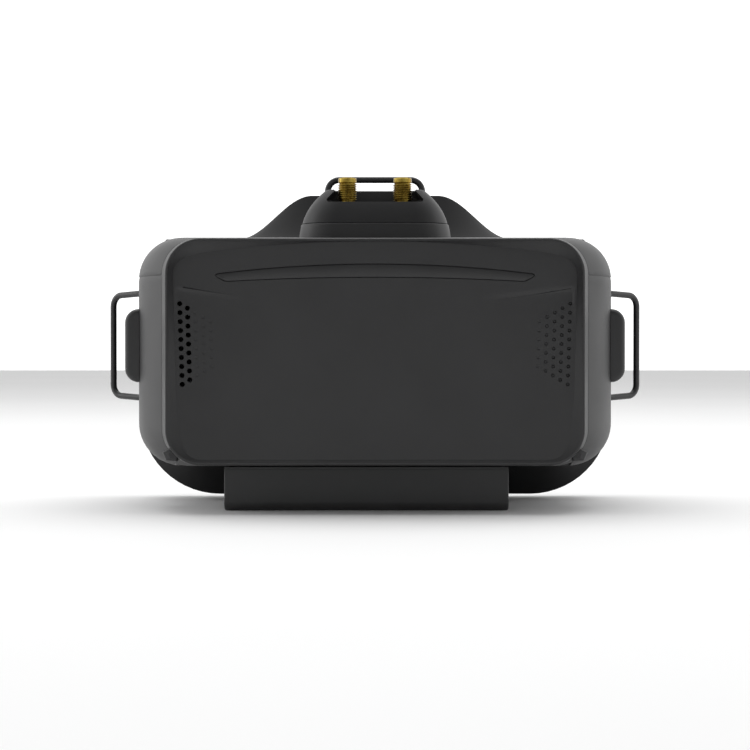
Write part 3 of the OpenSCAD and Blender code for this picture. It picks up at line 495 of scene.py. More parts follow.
def board_finish():
    """Glass-fibre circuit board under solder mask: tracks stand a hair proud and read lighter green,
    with tinned pads between them."""
    finish, tree, place = new_finish("solder_masked_circuit_board")
    layout = {"Vector": place, "Scale": 300.0, "Mortar Size": 0.09, "Row Height": 0.6, "Brick Width": 1.9}
    tracks = put(tree, "ShaderNodeTexBrick", layout).outputs["Fac"]
    pads = put(tree, "ShaderNodeTexVoronoi", {"Vector": place, "Scale": 420.0}).outputs[0]
    tone = between(tree, tracks, linear(hues().board), linear("#1F6B42"), 0.1, 0.9)
    tin = between(tree, pads, 1.0, 0.0, 0.12, 0.16)
    faces = {"Factor": tin, 6: tone, 7: linear("#B9BCBE")}
    mixed = put(tree, "ShaderNodeMix", faces, data_type="RGBA").outputs[2]
    bump = relief(tree, tracks, 0.5, 0.05)
    return close_finish(finish, tree, mixed, 0.3, bump, Metallic=tin)


def cell_finish():
    """Heat-sealed pouch foil: soft aluminium laminate with shallow creases."""
    finish, tree, place = new_finish("pouch_cell_foil")
    folds = noise(tree, place, 220.0, 4.0)
    tone = between(tree, folds, linear("#7C8083"), linear("#A4A8AB"))
    bump = relief(tree, folds, 0.5, 0.3)
    return close_finish(finish, tree, tone, 0.34, bump, Metallic=1.0)


# Name, darker and lighter tone, roughness, then grain size and relief in millimetres. None means the
# shells' own tones or grain.
PLASTICS = {
    "cover_plastic": ("matte_abs_cover", None, None, 0.48),
    "strip_plastic": ("matte_abs_trim", None, None, 0.44, 0.25, 0.012),
    "housing_plastic": ("matte_abs_housing", None, None, 0.5),
    "bracket_plastic": ("matte_nylon_bracket", None, None, 0.46, 0.45),
    "inner_plastic": ("flat_black_abs_inside", "#0B0B0B", "#111112", 0.72, 0.5, 0.03),
    # Pack tones: painted light, lighter than the shells' so that the pack reads as lit from below where the
    # floor's shadow falls on it.
    "pack_plastic": ("matte_abs_pack", "#292A2A", "#313132", 0.5, 0.3),
    # Jog housings: darker tones than the shells', as painted shade on the housings' tops.
    "jog_plastic": ("matte_abs_jog_housing", "#0E0E0E", "#151515", 0.55, 0.3, 0.015),
    "button_plastic": ("satin_abs_button", "#202021", "#29292A", 0.4, 0.25, 0.01),
    "wheel_rubber": ("overmoulded_rubber_wheel", "#161616", "#1D1D1D", 0.66, 0.2, 0.02),
    "socket_plastic": ("glass_filled_nylon_socket", "#1A1A1A", "#242424", 0.55, 0.2, 0.02),
    "header_plastic": ("cream_nylon_header", "#D9D2BC", "#E6E0CE", 0.5, 0.3, 0.01),
    "dielectric": ("turned_ptfe_insulator", "#DAD8D2", "#ECEAE5", 0.42, 0.3, 0.01),
    "chip_plastic": ("epoxy_chip_package", "#141414", "#1E1E1E", 0.6, 0.15, 0.01),
}
FINISHES = {
    "receiver_plastic": lambda: moulded("matte_abs_receiver", "#1D1D1E", "#252526", 0.5,
                                        Specular_IOR_Level=0.4),
    # Face frame: its darker colour is painted shade on the frame and its forehead hump.
    "frame_plastic": lambda: moulded("matte_abs_face_frame_painted_shade", hues().frame, "#1E1E1F", 0.62, 0.4,
                                     Specular_IOR_Level=0.2),
    "loop_wire": wire_finish,
    "connector_brass": lambda: metal("turned_brass_connector", hues().brass, "#7D6526", 0.26,
                                     (400.0, 400.0, 6000.0)),
    "contact_gold": lambda: metal("gold_plated_contact", "#E2BC62", "#C79B43", 0.22),
    "screw_steel": lambda: metal("zinc_plated_steel_screw", "#9EA1A5", "#7D8084", 0.32),
    "tinned_steel": lambda: metal("tin_plated_steel_shell", "#B3B5B6", "#94979A", 0.3,
                                  (300.0, 3000.0, 300.0)),
    "face_foam": foam_finish,
    "lens_acrylic": lens_finish,
    "screen_glass": screen_finish,
    "board_green": board_finish,
    "cell_foil": cell_finish,
}
MADE = {}


def finish(key):
    """The finish of that name, made once."""
    if key not in MADE:
        MADE[key] = moulded(*PLASTICS[key]) if key in PLASTICS else FINISHES[key]()
    return MADE[key]


def place(piece, body, slot, *nodes):
    """Puts a finished piece on its body, standing for its CAD nodes."""
    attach(piece, body)
    if nodes:
        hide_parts(*nodes)


def place_pair(right, body, slot, node):
    """Places a right-hand piece and its mirror image, each under the names of its own side."""
    left = mirrored(right, right.name.replace("right", "left"))
    for side, piece in (("right", right), ("left", left)):
        place(piece, body.format(side), slot, f"{side}_{node}")


# ---- front cover and trim strip -----------------------------------------------------------------

STRIP_HL = 50.8
STRIP_Z = AXIS_Z + 24.3
STRIP_TOP = (0.7, 3.7)     # height of the strip's top edge above STRIP_Z at its ends and in its middle
STRIP_LOW = (-1.9, -0.6)   # the same for its bottom edge
VENT_COLUMNS, VENT_ROWS = 5, 10
HOLE_R, HOLE_PITCH = 0.78, 2.86


def plain_depth(x, z):
    """Depth of the front panel without its scoops: shallow below, deeper towards the upper corners."""
    low, top, crown = sizes().low_recess / MM, sizes().top_recess / MM, sizes().crown / MM
    share = (z - AXIS_Z + 33) / 66
    return low + share * (top - low + crown * (x / 62) ** 2)


def panel_depth(x, z):
    """Depth of the front panel, with a shallow scoop beside each upper corner."""
    d = plain_depth(x, z)
    for side, reach, deep in ((-1, 21.0, 0.35), (1, 30.0, 0.55)):
        u = (63.5 - side * x) / reach
        if 0 <= u <= 1:
            crest = AXIS_Z + 20.5 - 2.9 * u
            below = crest - z
            fade = (1 - u) ** 0.8
            if below > 0:
                d += deep * fade * math.exp(-((below - 0.5) / 7.5) ** 2) * min(1, below / 0.7)
    return d


def border_width(x, z, nx, nz):
    """Width of the cover's sloped border where its outer edge faces (nx, nz)."""
    drop = AXIS_Z + 25.1 - z
    side = 2.4 + 1.1 * min(1, max(0, drop / 39.7)) + 1.1 * min(1, max(0, (drop - 39.7) / 13.4))
    over = sizes().top_border / MM + sizes().corner_border / MM * (x / 59) ** 2
    under = sizes().low_border / MM
    return nx * nx * side + nz * nz * (over if nz > 0 else under) - 0.9


def normals_of(points):
    """Outward unit normals of a closed anticlockwise outline."""
    n = len(points)
    result = []
    for i in range(n):
        ax, az = points[i - 1]
        bx, bz = points[(i + 1) % n]
        tx, tz = bx - ax, bz - az
        size = math.hypot(tx, tz) or 1
        result.append((tz / size, -tx / size))
    return result


def strip_edges(x, inset):
    """Lower and upper edge of the trim strip at x, or None outside it."""
    hl = STRIP_HL - inset
    ax = abs(x)
    if ax > hl:
        return None
    top_end, low_end = STRIP_HL - 1.2 - inset, STRIP_HL - 3.3 - inset
    (top, crest), (bottom, crown) = STRIP_TOP, STRIP_LOW
    if ax <= top_end:
        high = STRIP_Z + top - inset + (crest - top) * (1 - (ax / top_end) ** 2)
    else:
        tip = max(0, 1 - ((ax - top_end) / (hl - top_end)) ** 2)
        high = STRIP_Z + (top - inset) * math.sqrt(tip)
    if ax <= low_end:
        low = STRIP_Z + bottom + inset + (crown - bottom) * (1 - (ax / low_end) ** 2)
    else:
        low = STRIP_Z + (bottom + inset) * ((hl - ax) / (hl - low_end)) ** 0.7
    return low, max(high, low + 0.02)


def strip_solid(name, inset, front, back, edge, material=None):
    """The trim strip, following the panel from front to back of its surface, with rounded edges."""
    rings = []
    hl = STRIP_HL - inset
    stops = [-hl + 0.001, -hl + 0.12, -hl + 0.4, -hl + 0.8]
    stops += [-hl + 1.2 + (2 * hl - 2.4) * i / 110 for i in range(111)]
    stops += [hl - 0.8, hl - 0.4, hl - 0.12, hl - 0.001]
    for x in stops:
        low, high = strip_edges(x, inset)
        r = min(edge, (high - low) * 0.4)
        y, y1 = y_of(plain_depth(x, low)), y_of(plain_depth(x, high))
        rings.append([(x, y + back, low), (x, y + front + r, low),
                      (x, y + front + r * 0.3, low + r * 0.3), (x, y + front, low + r),
                      (x, y1 + front, high - r), (x, y1 + front + r * 0.3, high - r * 0.3),
                      (x, y1 + front + r, high), (x, y1 + back, high)])
    return new_piece(name, *loft(rings), material, 25)


def cone_at(x, z, r, depth, tip):
    """A round cutter that enters the panel from the front."""
    y = y_of(panel_depth(x, z))
    angles = [0.11 + math.tau * i / 22 for i in range(22)]
    rings = [[(x + q * math.cos(a), y + w, z + q * math.sin(a)) for a in angles]
             for w, q in ((-1.1, r + 0.13), (-0.03, r + 0.11), (0.1, r), (depth, tip))]
    return new_piece("hole", *loft(rings))


def vent_cutters(through):
    """Cutters for the vent field's open holes, or for its blind dimples."""
    cutters = []
    for side in (-1, 1):
        for c in range(VENT_COLUMNS):
            for k in range(VENT_ROWS - c):
                x = FRONT_W / 2 - 4.6 - c * HOLE_PITCH * math.sin(math.radians(60)) - 0.1 * k
                z = AXIS_Z + 15.4 - c * HOLE_PITCH / 2 - k * HOLE_PITCH
                if (side < 0 and c < 2) != through:
                    continue
                if through:
                    cutters.append(cone_at(-x, z, HOLE_R, 6.5, HOLE_R - 0.02))
                elif side < 0:
                    cutters.append(cone_at(-x, z, 0.5, 0.16, 0.1))
                else:
                    cutters.append(cone_at(x, z, 0.55, 0.75 - 0.13 * c, 0.3))
    return join(cutters)


def crease(start, end, width, depth):
    """A V-shaped cutter along a crease in the panel, dying out towards its end."""
    rings = []
    for i in range(13):
        u = i / 12
        x, z = start[0] + (end[0] - start[0]) * u, start[1] + (end[1] - start[1]) * u
        y = y_of(panel_depth(x, z))
        w, t = width * (1 - 0.75 * u) / 2, depth * (1 - u) + 0.01
        rings.append([(x, y - 0.4, z - w * 1.6), (x, y - 0.4, z + w * 1.6), (x, y + t, z)])
    return new_piece("crease", *loft(rings))


class GOGGLES_OT_front_cover(bpy.types.Operator):
    """Builds the front cover with its sloped border, vents and creases, and the trim strip"""
    bl_idname = "goggles.front_cover"
    bl_label = "Front Cover"

    def execute(self, context):
        steps = {"corner": 16, "edge": 120, "side": 36}
        outer = front_outline(0, **steps)
        facing = normals_of(outer)
        land = front_outline(0.9, **steps)
        inner = [(x - nx * border_width(x, z, nx, nz), z - nz * border_width(x, z, nx, nz))
                 for (x, z), (nx, nz) in zip(land, facing)]
        core = [(x * (0.55 - 0.06 * ((z - AXIS_Z) / 33) ** 2), AXIS_Z + (z - AXIS_Z) * 0.09)
                for x, z in inner]
        rings = []
        for i in range(44, 0, -1):
            points = part_way(inner, core, i / 44)
            rings.append([(x, y_of(panel_depth(x, z)), z) for x, z in points])
        rings.append([(x, y_of(panel_depth(x, z) + 0.02), z) for x, z in inner])
        depth = [panel_depth(x, z) for x, z in inner]
        for share in (0.06, 0.3, 0.65, 0.94):
            points = part_way(inner, land, share)
            rings.append([(x, y_of(d * (1 - share) + 0.1 * share), z) for (x, z), d in zip(points, depth)])
        rings.append(ring(front_outline(0.85, **steps), 0.0))
        for angle in (0, 22, 45, 68, 90):
            a = math.radians(angle)
            rings.append(ring(front_outline(0.5 - 0.5 * math.sin(a), **steps), 0.8 - 0.8 * math.cos(a)))
        skirt = body_outline(COVER_D, 0, **steps)
        for share in (0.12, 0.3, 0.5, 0.7, 0.85, 1.0):
            rings.append(ring(part_way(outer, skirt, share), 0.8 + (COVER_D - 1.0) * share))
        for inset, d in ((sizes().seam / MM, COVER_D), (WALL + 0.1, COVER_D), (WALL + 0.1, COVER_D + 3),
                         (WALL + 1.2, COVER_D + 3)):
            rings.append(ring(body_outline(COVER_D, inset, **steps), d))
        rings += [ring(front_outline(3.0, **steps), 5.0), ring(core, 5.0)]
        cover = new_piece("front_cover_shell", *loft(rings, "strip"), finish("cover_plastic"), 28)
        combine(cover, strip_solid("pocket", -0.12, -0.6, 1.2, 0.04))
        combine(cover, vent_cutters(True))
        combine(cover, vent_cutters(False))
        combine(cover, crease((-61.2, AXIS_Z + 20.6), (-43.0, AXIS_Z + 17.7), 0.55, 0.3))
        combine(cover, crease((63.0, AXIS_Z + 20.3), (38.0, AXIS_Z + 16.2), 0.4, 0.12))
        for side in (-1, 1):
            foot = [(-68.1, 19.9), (-67.0, 17.2), (-63.4, 16.9), (-62.2, 19.2), (-64.6, 21.6)]
            cx, cz = -63.4, 19.2
            rings = [[(side * (cx + (x - cx) * scale), y_of(d), cz + (z - cz) * scale) for x, z in foot]
                     for d, scale in ((2.6, 0.55), (3.4, 0.9), (4.2, 1.0), (COVER_D - 0.1, 1.0))]
            combine(cover, new_piece("corner_foot", *loft(rings)), "UNION")
        finish_mesh(cover, 28)
        place(cover, "headset", "cover_plastic", "front_cover")
        strip = strip_solid("trim_strip_inlay", 0.12, 0.06, 1.1, 0.22, finish("strip_plastic"))
        place(strip, "headset", "strip_plastic", "trim_strip")
        return {"FINISHED"}


# ---- housing ------------------------------------------------------------------------------------

# Openings in the floor: X, depth and radius of the video and power sockets, the button and the two
# screw wells, then X, depth, width and length of the data port, the card slot and the contacts.
ROUND_PORTS = ((62, 26, 2.8), (62, 34.5, 4.0), (-62, 20, 3.8), (-70, 51.5, 2.4), (70, 51.5, 2.4))
SQUARE_PORTS = ((62, 17, 3.4, 9.2), (-62, 36, 2.6, 12.6), (-9, 38, 12, 7))


def wall_section(d, cut, upper, inset, count=150):
    """Section of one housing half at depth d: out along its outer face and back along its inner one."""
    def run(extra, shift):
        def bearing(p):
            angle = math.atan2(p[1] - AXIS_Z, p[0])
            return angle if upper else (angle - math.radians(60)) % math.tau
        points = body_outline(d, extra, corner=40, edge=60, side=30)
        kept = [p for p in points if (p[1] > cut + shift if upper else p[1] < cut - shift)]
        kept.sort(key=bearing)
        travel = [0.0]
        for a, b in zip(kept, kept[1:]):
            travel.append(travel[-1] + math.hypot(b[0] - a[0], b[1] - a[1]))
        result, j = [], 0
        for i in range(count):
            want = travel[-1] * i / (count - 1)
            while j < len(travel) - 2 and travel[j + 1] < want:
                j += 1
            u = (want - travel[j]) / max(1e-9, travel[j + 1] - travel[j])
            result.append((kept[j][0] + (kept[j + 1][0] - kept[j][0]) * u,
                           kept[j][1] + (kept[j + 1][1] - kept[j][1]) * u))
        return result
    chamfer = sizes().seam / MM
    outer, lip, back = run(inset, chamfer), run(inset + chamfer, 0.0), run(WALL, 0.0)
    for points in (lip, back):
        points[0] = (points[0][0], cut)
        points[-1] = (points[-1][0], cut)
    return [lip[0]] + outer + [lip[-1]] + [back[-1]] + back[::-1] + [back[0]]


def half_shell(name, cut, upper):
    """One half of the housing's wall, parted at height cut."""
    chamfer = sizes().seam / MM
    spots = [(COVER_D + 0.05, chamfer), (COVER_D + 0.05 + chamfer, 0.0)]
    spots += [(COVER_D + 0.5 + (BODY_D - COVER_D - 1) * i / 26, 0.0) for i in range(27)]
    spots += [(BODY_D - chamfer, 0.0), (BODY_D, chamfer)]
    rings = [ring(wall_section(d, cut, upper, inset), d) for d, inset in spots]
    return new_piece(name, *loft(rings, "strip"), finish("housing_plastic"))


class GOGGLES_OT_housing(bpy.types.Operator):
    """Builds the upper housing with the tower's foot, and the lower housing with its ports and rails"""
    bl_idname = "goggles.housing"
    bl_label = "Housing"

    def execute(self, context):
        top = AXIS_Z + BODY_H / 2
        upper = half_shell("upper_housing_shell", SEAM_Z, True)
        low = top - WALL - 0.3
        heights = [low + (BAY_Z - 0.25 - low) * i / 10 for i in range(11)]
        foot = new_piece("foot", *loft([tower_outline(z) for z in heights] + [tower_outline(BAY_Z, 0.15)]))
        combine(upper, foot, "UNION")
        combine(upper, block((-20.0, y_of(28.0), AXIS_Z + 33.1), (20.0, y_of(51.0), 200)))
        for side in ("left", "right"):
            low, high = box_mm(side + "_jog_housing")
            combine(upper, block([c - 0.1 for c in low], (high[0] + 0.1, high[1] + 0.1, high[2] + 30)))
        finish_mesh(upper)
        place(upper, "headset", "housing_plastic", "upper_housing")

        lower = half_shell("lower_housing_shell", SEAM_Z - 0.05, False)
        for d in RAIL_DEPTHS:
            y = y_of(d)
            section = [(y - 2.5, FLOOR_Z + 0.6), (y - 2.5, FLOOR_Z + 0.4), (y - 4, FLOOR_Z - 2.6),
                       (y + 4, FLOOR_Z - 2.6), (y + 2.5, FLOOR_Z + 0.4), (y + 2.5, FLOOR_Z + 0.6)]
            rail = new_piece("rail", *prism(section, "x", PACK_LOW[0] + 8, PACK_HIGH[0] - 2))
            combine(lower, rail, "UNION")
        for x, d, r in ROUND_PORTS:
            spots = ((r + 0.3, FLOOR_Z - 3), (r + 0.3, FLOOR_Z), (r, FLOOR_Z + 0.3), (r, FLOOR_Z + 8))
            combine(lower, new_piece("port", *loft(level_circles(x, y_of(d), spots))))
        for x, d, w, l in SQUARE_PORTS:
            combine(lower, block((x - w / 2 - 0.1, y_of(d) - l / 2 - 0.1, FLOOR_Z - 3),
                                 (x + w / 2 + 0.1, y_of(d) + l / 2 + 0.1, FLOOR_Z + 8)))
        finish_mesh(lower)
        place(lower, "headset", "housing_plastic", "lower_housing")
        return {"FINISHED"}


# ---- receiver -----------------------------------------------------------------------------------


class GOGGLES_OT_receiver(bpy.types.Operator):
    """Builds the receiver's case with its antenna notch"""
    bl_idname = "goggles.receiver"
    bl_label = "Receiver Case"

    def execute(self, context):
        low = BAY_Z + 0.12
        rings = [tower_outline(low, 0.3), tower_outline(low + 0.12, 0.18)]
        rings += [tower_outline(low + 0.25 + (ROOF_Z - low - 0.25) * s, 0.15)
                  for s in (0.15, 0.3, 0.42, 0.52, 0.6, 0.67, 0.73, 0.78, 0.83, 0.87, 0.91, 0.945)]
        for angle in (0, 25, 50, 72, 90):
            a = math.radians(angle)
            section = tower_outline(ROOF_Z - 0.45 * (1 - angle / 90), 0.15 + 0.45 * (1 - math.cos(a)))
            rings.append([(x, y, ROOF_Z - 0.45 + 0.45 * math.sin(a)) for x, y, _ in section])
        case = new_piece("receiver_case", *loft(rings), finish("receiver_plastic"))
        sides = []
        for z, hw, back in ((LEDGE_Z, 14.9, 35.6), (LEDGE_Z + 0.12, 15.5, 36.0), (LEDGE_Z + 0.45, 15.9, 36.2),
                            (LEDGE_Z + 1.1, 15.9, 36.3), (ROOF_Z - 0.4, 13.3, 36.4), (ROOF_Z, 13.5, 36.6),
                            (ROOF_Z + 4, 15.5, 37.5)):
            flat = [polar(hw - 4.5, y_of(back) - 4.5, 4.5, a) for a in range(0, 91, 9)]
            sides.append([(hw, y_of(0), z)] + [(x, y, z) for x, y in flat]
                         + [(-x, y, z) for x, y in reversed(flat)] + [(-hw, y_of(0), z)])
        combine(case, new_piece("notch", *loft(sides)))
        for x in (-SMA_X, SMA_X):
            combine(case, rod("seat", x, y_of(SMA_D), 3.35, "z", LEDGE_Z - 1.6, LEDGE_Z + 2))
        combine(case, block((-19.7, y_of(28.3), BAY_Z - 8), (19.7, y_of(50.7), low + 0.3)))
        finish_mesh(case)
        skirt = block((-19.7, y_of(28.3), BAY_Z - 5.2), (19.7, y_of(50.7), low + 0.28))
        combine(skirt, block((-18.1, y_of(29.9), BAY_Z - 9), (18.1, y_of(49.1), low + 3)))
        combine(case, skirt, "UNION")
        finish_mesh(case)
        place(case, "receiver", "receiver_plastic", "module_case")
        return {"FINISHED"}


class GOGGLES_OT_antenna_connectors(bpy.types.Operator):
    """Builds both threaded antenna connectors with their insulators and contacts"""
    bl_idname = "goggles.antenna_connectors"
    bl_label = "Antenna Connectors"

    def execute(self, context):
        pitch = sizes().thread_pitch / MM
        turns, around = 8.6, 56
        for side, name in ((-1, "left"), (1, "right")):
            cx, cy = side * SMA_X, y_of(SMA_D)
            low, high = LEDGE_Z + 0.06, SMA_TOP
            start = low + 0.2
            rings = level_circles(cx, cy, ((2.4, low), (2.8, low + 0.01), (2.62, start)), around)
            rows = int(turns * 14)
            for row in range(rows + 1):
                z = start + 0.02 + (turns * pitch) * row / rows
                line = []
                for i in range(around):
                    phase = (z - start) / pitch - i / around
                    wave = abs(2 * (phase - math.floor(phase)) - 1)
                    ends = min(1, row / 10, (rows - row) / 8)
                    r = 2.62 + 0.54 * min(1, max(0, (wave - 0.12) / 0.68)) * ends
                    a = math.tau * i / around
                    line.append((cx + r * math.cos(a), cy + r * math.sin(a), z))
                rings.append(line)
            collar = start + turns * pitch + 0.15
            spots = ((2.8, collar), (3.0, collar + 0.12), (3.0, high - 0.25), (2.8, high), (2.45, high),
                     (2.3, high - 0.15), (2.3, high - 4.4), (0.001, high - 4.4))
            rings += level_circles(cx, cy, spots, around)
            barrel = new_piece(name + "_antenna_barrel", *loft(rings), finish("connector_brass"), 28)
            place(barrel, "receiver", "connector_brass", name + "_antenna_connector")
            spots = ((0.7, high - 4.4), (2.05, high - 4.38), (2.1, high - 0.75), (2.0, high - 0.65),
                     (0.75, high - 0.65), (0.7, high - 0.7))
            skin = loft(level_circles(cx, cy, spots), "tube")
            ptfe = new_piece(name + "_antenna_insulator", *skin, finish("dielectric"))
            place(ptfe, "receiver", "socket_plastic")
            spots = ((0.001, high - 4.3), (0.62, high - 4.3), (0.62, high - 0.62), (0.55, high - 0.55),
                     (0.42, high - 0.55), (0.4, high - 2.6), (0.001, high - 2.6))
            skin = loft(level_circles(cx, cy, spots, 32))
            pin = new_piece(name + "_antenna_contact", *skin, finish("contact_gold"))
            place(pin, "receiver", "connector_brass")
            foot = block((cx - 3.6, cy - 3.6, LEDGE_Z - 3.5), (cx + 3.6, cy + 3.6, LEDGE_Z - 1.9))
            foot.name = name + "_antenna_foot"
            foot.data.materials.append(finish("connector_brass"))
            soften(foot, 0.2)
            place(foot, "receiver", "connector_brass")
        return {"FINISHED"}


# ---- face side ----------------------------------------------------------------------------------


class GOGGLES_OT_face_frame(bpy.types.Operator):
    """Builds the flared face frame with its forehead hump and nose cut-out"""
    bl_idname = "goggles.face_frame"
    bl_label = "Face Frame"

    def execute(self, context):
        thick = 2.4
        rings = []
        start, end = body_outline(BODY_D, 0.2), frame_outline(0)
        for i in range(21):
            u = i / 20
            d = BODY_D + 0.05 + (FRAME_D - BODY_D - 0.05) * u
            rings.append(ring(part_way(start, end, u ** 1.35), d))
        rings.append(ring(frame_outline(0), FRAME_D + 1.2, WRAP * 0.3))
        rings.append(ring(frame_outline(0), FRAME_D + 2.8, WRAP * 0.7))
        for angle in (0, 30, 60, 90):
            a = math.radians(angle)
            rings.append(ring(frame_outline(0.8 - 0.8 * math.cos(a)), RIM_D - 0.8 + 0.8 * math.sin(a), WRAP))
        for inset, d in ((FOAM_W - 1.5, RIM_D), (FOAM_W - 1, RIM_D - 0.4), (FOAM_W - 1, RIM_D - thick)):
            rings.append(ring(frame_outline(inset), d, WRAP))
        inner_back, inner_front = frame_outline(thick + 0.2), body_outline(BODY_D, WALL + 1)
        for i in range(11):
            u = i / 10
            d = FRAME_D - 0.8 - (FRAME_D - 0.8 - BODY_D - 0.05) * u
            rings.append(ring(part_way(inner_back, inner_front, u), d))
        shell = new_piece("face_frame_shell", *loft(rings, "tube"), finish("frame_plastic"))
        edge = body_outline(BODY_D, WALL + 0.6)
        flange = new_piece("flange", *prism(edge, "y", y_of(BODY_D + 0.05), y_of(BODY_D + 2.45)))
        opening = outline(63, AXIS_Z + 28.5, AXIS_Z - 28.5, 14, 14)
        combine(flange, new_piece("opening", *prism(opening, "y", y_of(BODY_D - 1), y_of(BODY_D + 6))))
        combine(shell, flange, "UNION")
        for x, z in ((-65, 30), (65, 30), (-65, -30), (65, -30), (0, 35.2)):
            combine(shell, rod("screw_hole", x, AXIS_Z + z, 1.3, "y", y_of(BODY_D - 1), y_of(BODY_D + 5), 24))
        finish_mesh(shell)
        place(shell, "headset", "frame_plastic", "face_frame")
        return {"FINISHED"}


class GOGGLES_OT_face_foam(bpy.types.Operator):
    """Builds the face foam and lets it swell against its cover"""
    bl_idname = "goggles.face_foam"
    bl_label = "Face Foam"

    def execute(self, context):
        scene = context.scene
        steps = {"corner": 12, "edge": 54, "side": 10}
        profile = [(0.9, 0.15), (0.7, 2.5), (0.8, 5.5), (1.2, 8.5), (2.4, 10.4), (4.4, 11.3), (6.5, 11.5),
                   (8.6, 11.3), (10.6, 10.4), (11.8, 8.5), (12.2, 5.5), (12.3, 2.5), (12.1, 0.15)]
        rings = [ring(frame_outline(inset, **steps), RIM_D + t, WRAP) for inset, t in profile]
        foam = new_piece("face_foam_pad", *loft(rings, "tube"), finish("face_foam"), 80)
        limit = sizes().foam_swell
        remesh = foam.modifiers.new("remesh", "REMESH")
        remesh.mode = "VOXEL"
        remesh.voxel_size = 0.0042
        settle(foam)
        start = [v.co.copy() for v in foam.data.vertices]
        cloth = foam.modifiers.new("swell", "CLOTH")
        cloth.settings.use_pressure = True
        cloth.settings.uniform_pressure_force = 4.0
        cloth.settings.effector_weights.gravity = 0.0
        cloth.settings.mass = 0.3
        cloth.point_cache.frame_start = 1
        cloth.point_cache.frame_end = 20
        for step in range(1, 21):
            scene.frame_set(step)
        graph = context.evaluated_depsgraph_get()
        swollen = [v.co.copy() for v in foam.evaluated_get(graph).data.vertices]
        foam.modifiers.clear()
        scene.frame_set(1)
        for vertex, before, after in zip(foam.data.vertices, start, swollen):
            move = after - before
            if move.length > limit:
                move *= limit / move.length
            point = before + move
            bow = WRAP * (2 * before.x / MM / FRAME_W) ** 2
            base, roof = y_of(RIM_D + 0.12 + bow) * MM, y_of(RIM_D + FOAM_T + bow) * MM
            point.y = min(max(point.y, base), roof)
            vertex.co = point
        sub = foam.modifiers.new("sub", "SUBSURF")
        sub.levels = 1
        settle(foam)
        finish_mesh(foam, 80)
        place(foam, "headset", "face_foam", "face_foam")
        return {"FINISHED"}


# ---- strap brackets and loops -------------------------------------------------------------------


def tube(name, path, radius, material, around=20):
    """A closed wire along a closed path."""
    n = len(path)
    rings = []
    up = None
    for i in range(n):
        ahead = (Vector(path[(i + 1) % n]) - Vector(path[i - 1])).normalized()
        if up is None:
            up = ahead.orthogonal().normalized()
        up = (up - ahead * up.dot(ahead)).normalized()
        across = ahead.cross(up)
        rings.append([tuple(Vector(path[i]) + radius * (up * math.cos(math.tau * j / around)
                                                       + across * math.sin(math.tau * j / around)))
                      for j in range(around)])
    return new_piece(name, *loft(rings, "tube"), material, 60)


def loop_path(reach, half, converge, bend=4.0):
    """A rectangular loop in its own plane: pivot bar at 0, outer bar at reach."""
    path = []
    corners = ((reach - bend, half - converge - bend, 0), (bend, half + converge * 0.4 - bend, 90),
               (bend, bend - half - converge * 0.4, 180), (reach - bend, bend - half + converge, 270))
    for k, (u, v, start) in enumerate(corners):
        path += [polar(u, v, bend, start + 7.5 * i) for i in range(13)]
        (a, b), (u, v, start) = path[-1], corners[(k + 1) % 4]
        c, d = polar(u, v, bend, start)
        path += [(a + (c - a) * i / 12, b + (d - b) * i / 12) for i in range(1, 12)]
    return path


class GOGGLES_OT_strap_loops(bpy.types.Operator):
    """Bends the three wire loops that the head strap threads through"""
    bl_idname = "goggles.strap_loops"
    bl_label = "Strap Loops"

    def execute(self, context):
        rest = math.radians(40)
        path = [(SIDE_PIVOT[0] + u * math.cos(rest), y_of(SIDE_PIVOT[1]) + u * math.sin(rest), STRAP_Z + v)
                for u, v in loop_path(16.5, 17.72, 0.3)]
        right = tube("right_strap_wire", path, 1.08, finish("loop_wire"))
        place_pair(right, "{}_loop", "loop_wire", "strap_loop")
        path = [(v, y_of(TOP_PIVOT[0]), TOP_PIVOT[1] + u) for u, v in loop_path(12, 16.32, 0.0)]
        top = tube("top_strap_wire", path, 1.08, finish("loop_wire"))
        place(top, "top_loop", "loop_wire", "top_strap_loop")
        return {"FINISHED"}


class GOGGLES_OT_strap_brackets(bpy.types.Operator):
    """Builds the two side brackets that the strap loops turn in"""
    bl_idname = "goggles.strap_brackets"
    bl_label = "Strap Brackets"

    def execute(self, context):
        corner, hh, edge = 4.6, 12.2, 1.7
        outer = BODY_W / 2 + 4.0
        front, back = 31.5, SIDE_PIVOT[1] - 3.6

        def section(d, inset):
            r = corner - inset
            up = [polar(outer - corner, STRAP_Z + hh - corner, r, a) for a in range(0, 91, 9)]
            points = [(70, STRAP_Z + hh - inset)] + up[::-1] + [(x, 2 * STRAP_Z - z) for x, z in up]
            return ring(points + [(70, STRAP_Z - hh + inset)], d)

        rings = []
        for angle in range(0, 91, 18):
            a = math.radians(angle)
            rings.append(section(front + edge - edge * math.cos(a), edge - edge * math.sin(a)))
        for angle in range(90, -1, -18):
            a = math.radians(angle)
            rings.append(section(back - edge + edge * math.cos(a), edge - edge * math.sin(a)))
        right = new_piece("right_bracket", *loft(rings), finish("bracket_plastic"))
        x, y = SIDE_PIVOT[0], y_of(SIDE_PIVOT[1])
        low, high = STRAP_Z - hh, STRAP_Z + hh
        combine(right, block((x - 1.6, y_of(back - 2), low + 1), (x + 1.6, y, high - 1)), "UNION")
        spots = ((2.3, low), (2.6, low + 0.3), (2.6, high - 0.3), (2.3, high))
        combine(right, new_piece("barrel", *loft(level_circles(x, y, spots, 48))), "UNION")
        combine(right, housing_solid(0.1))
        combine(right, rod("bore", x, y, 1.2, "z", STRAP_Z - 20, STRAP_Z + 20, 48))
        finish_mesh(right)
        place_pair(right, "headset", "bracket_plastic", "strap_bracket")
        return {"FINISHED"}


# ---- battery pack -------------------------------------------------------------------------------


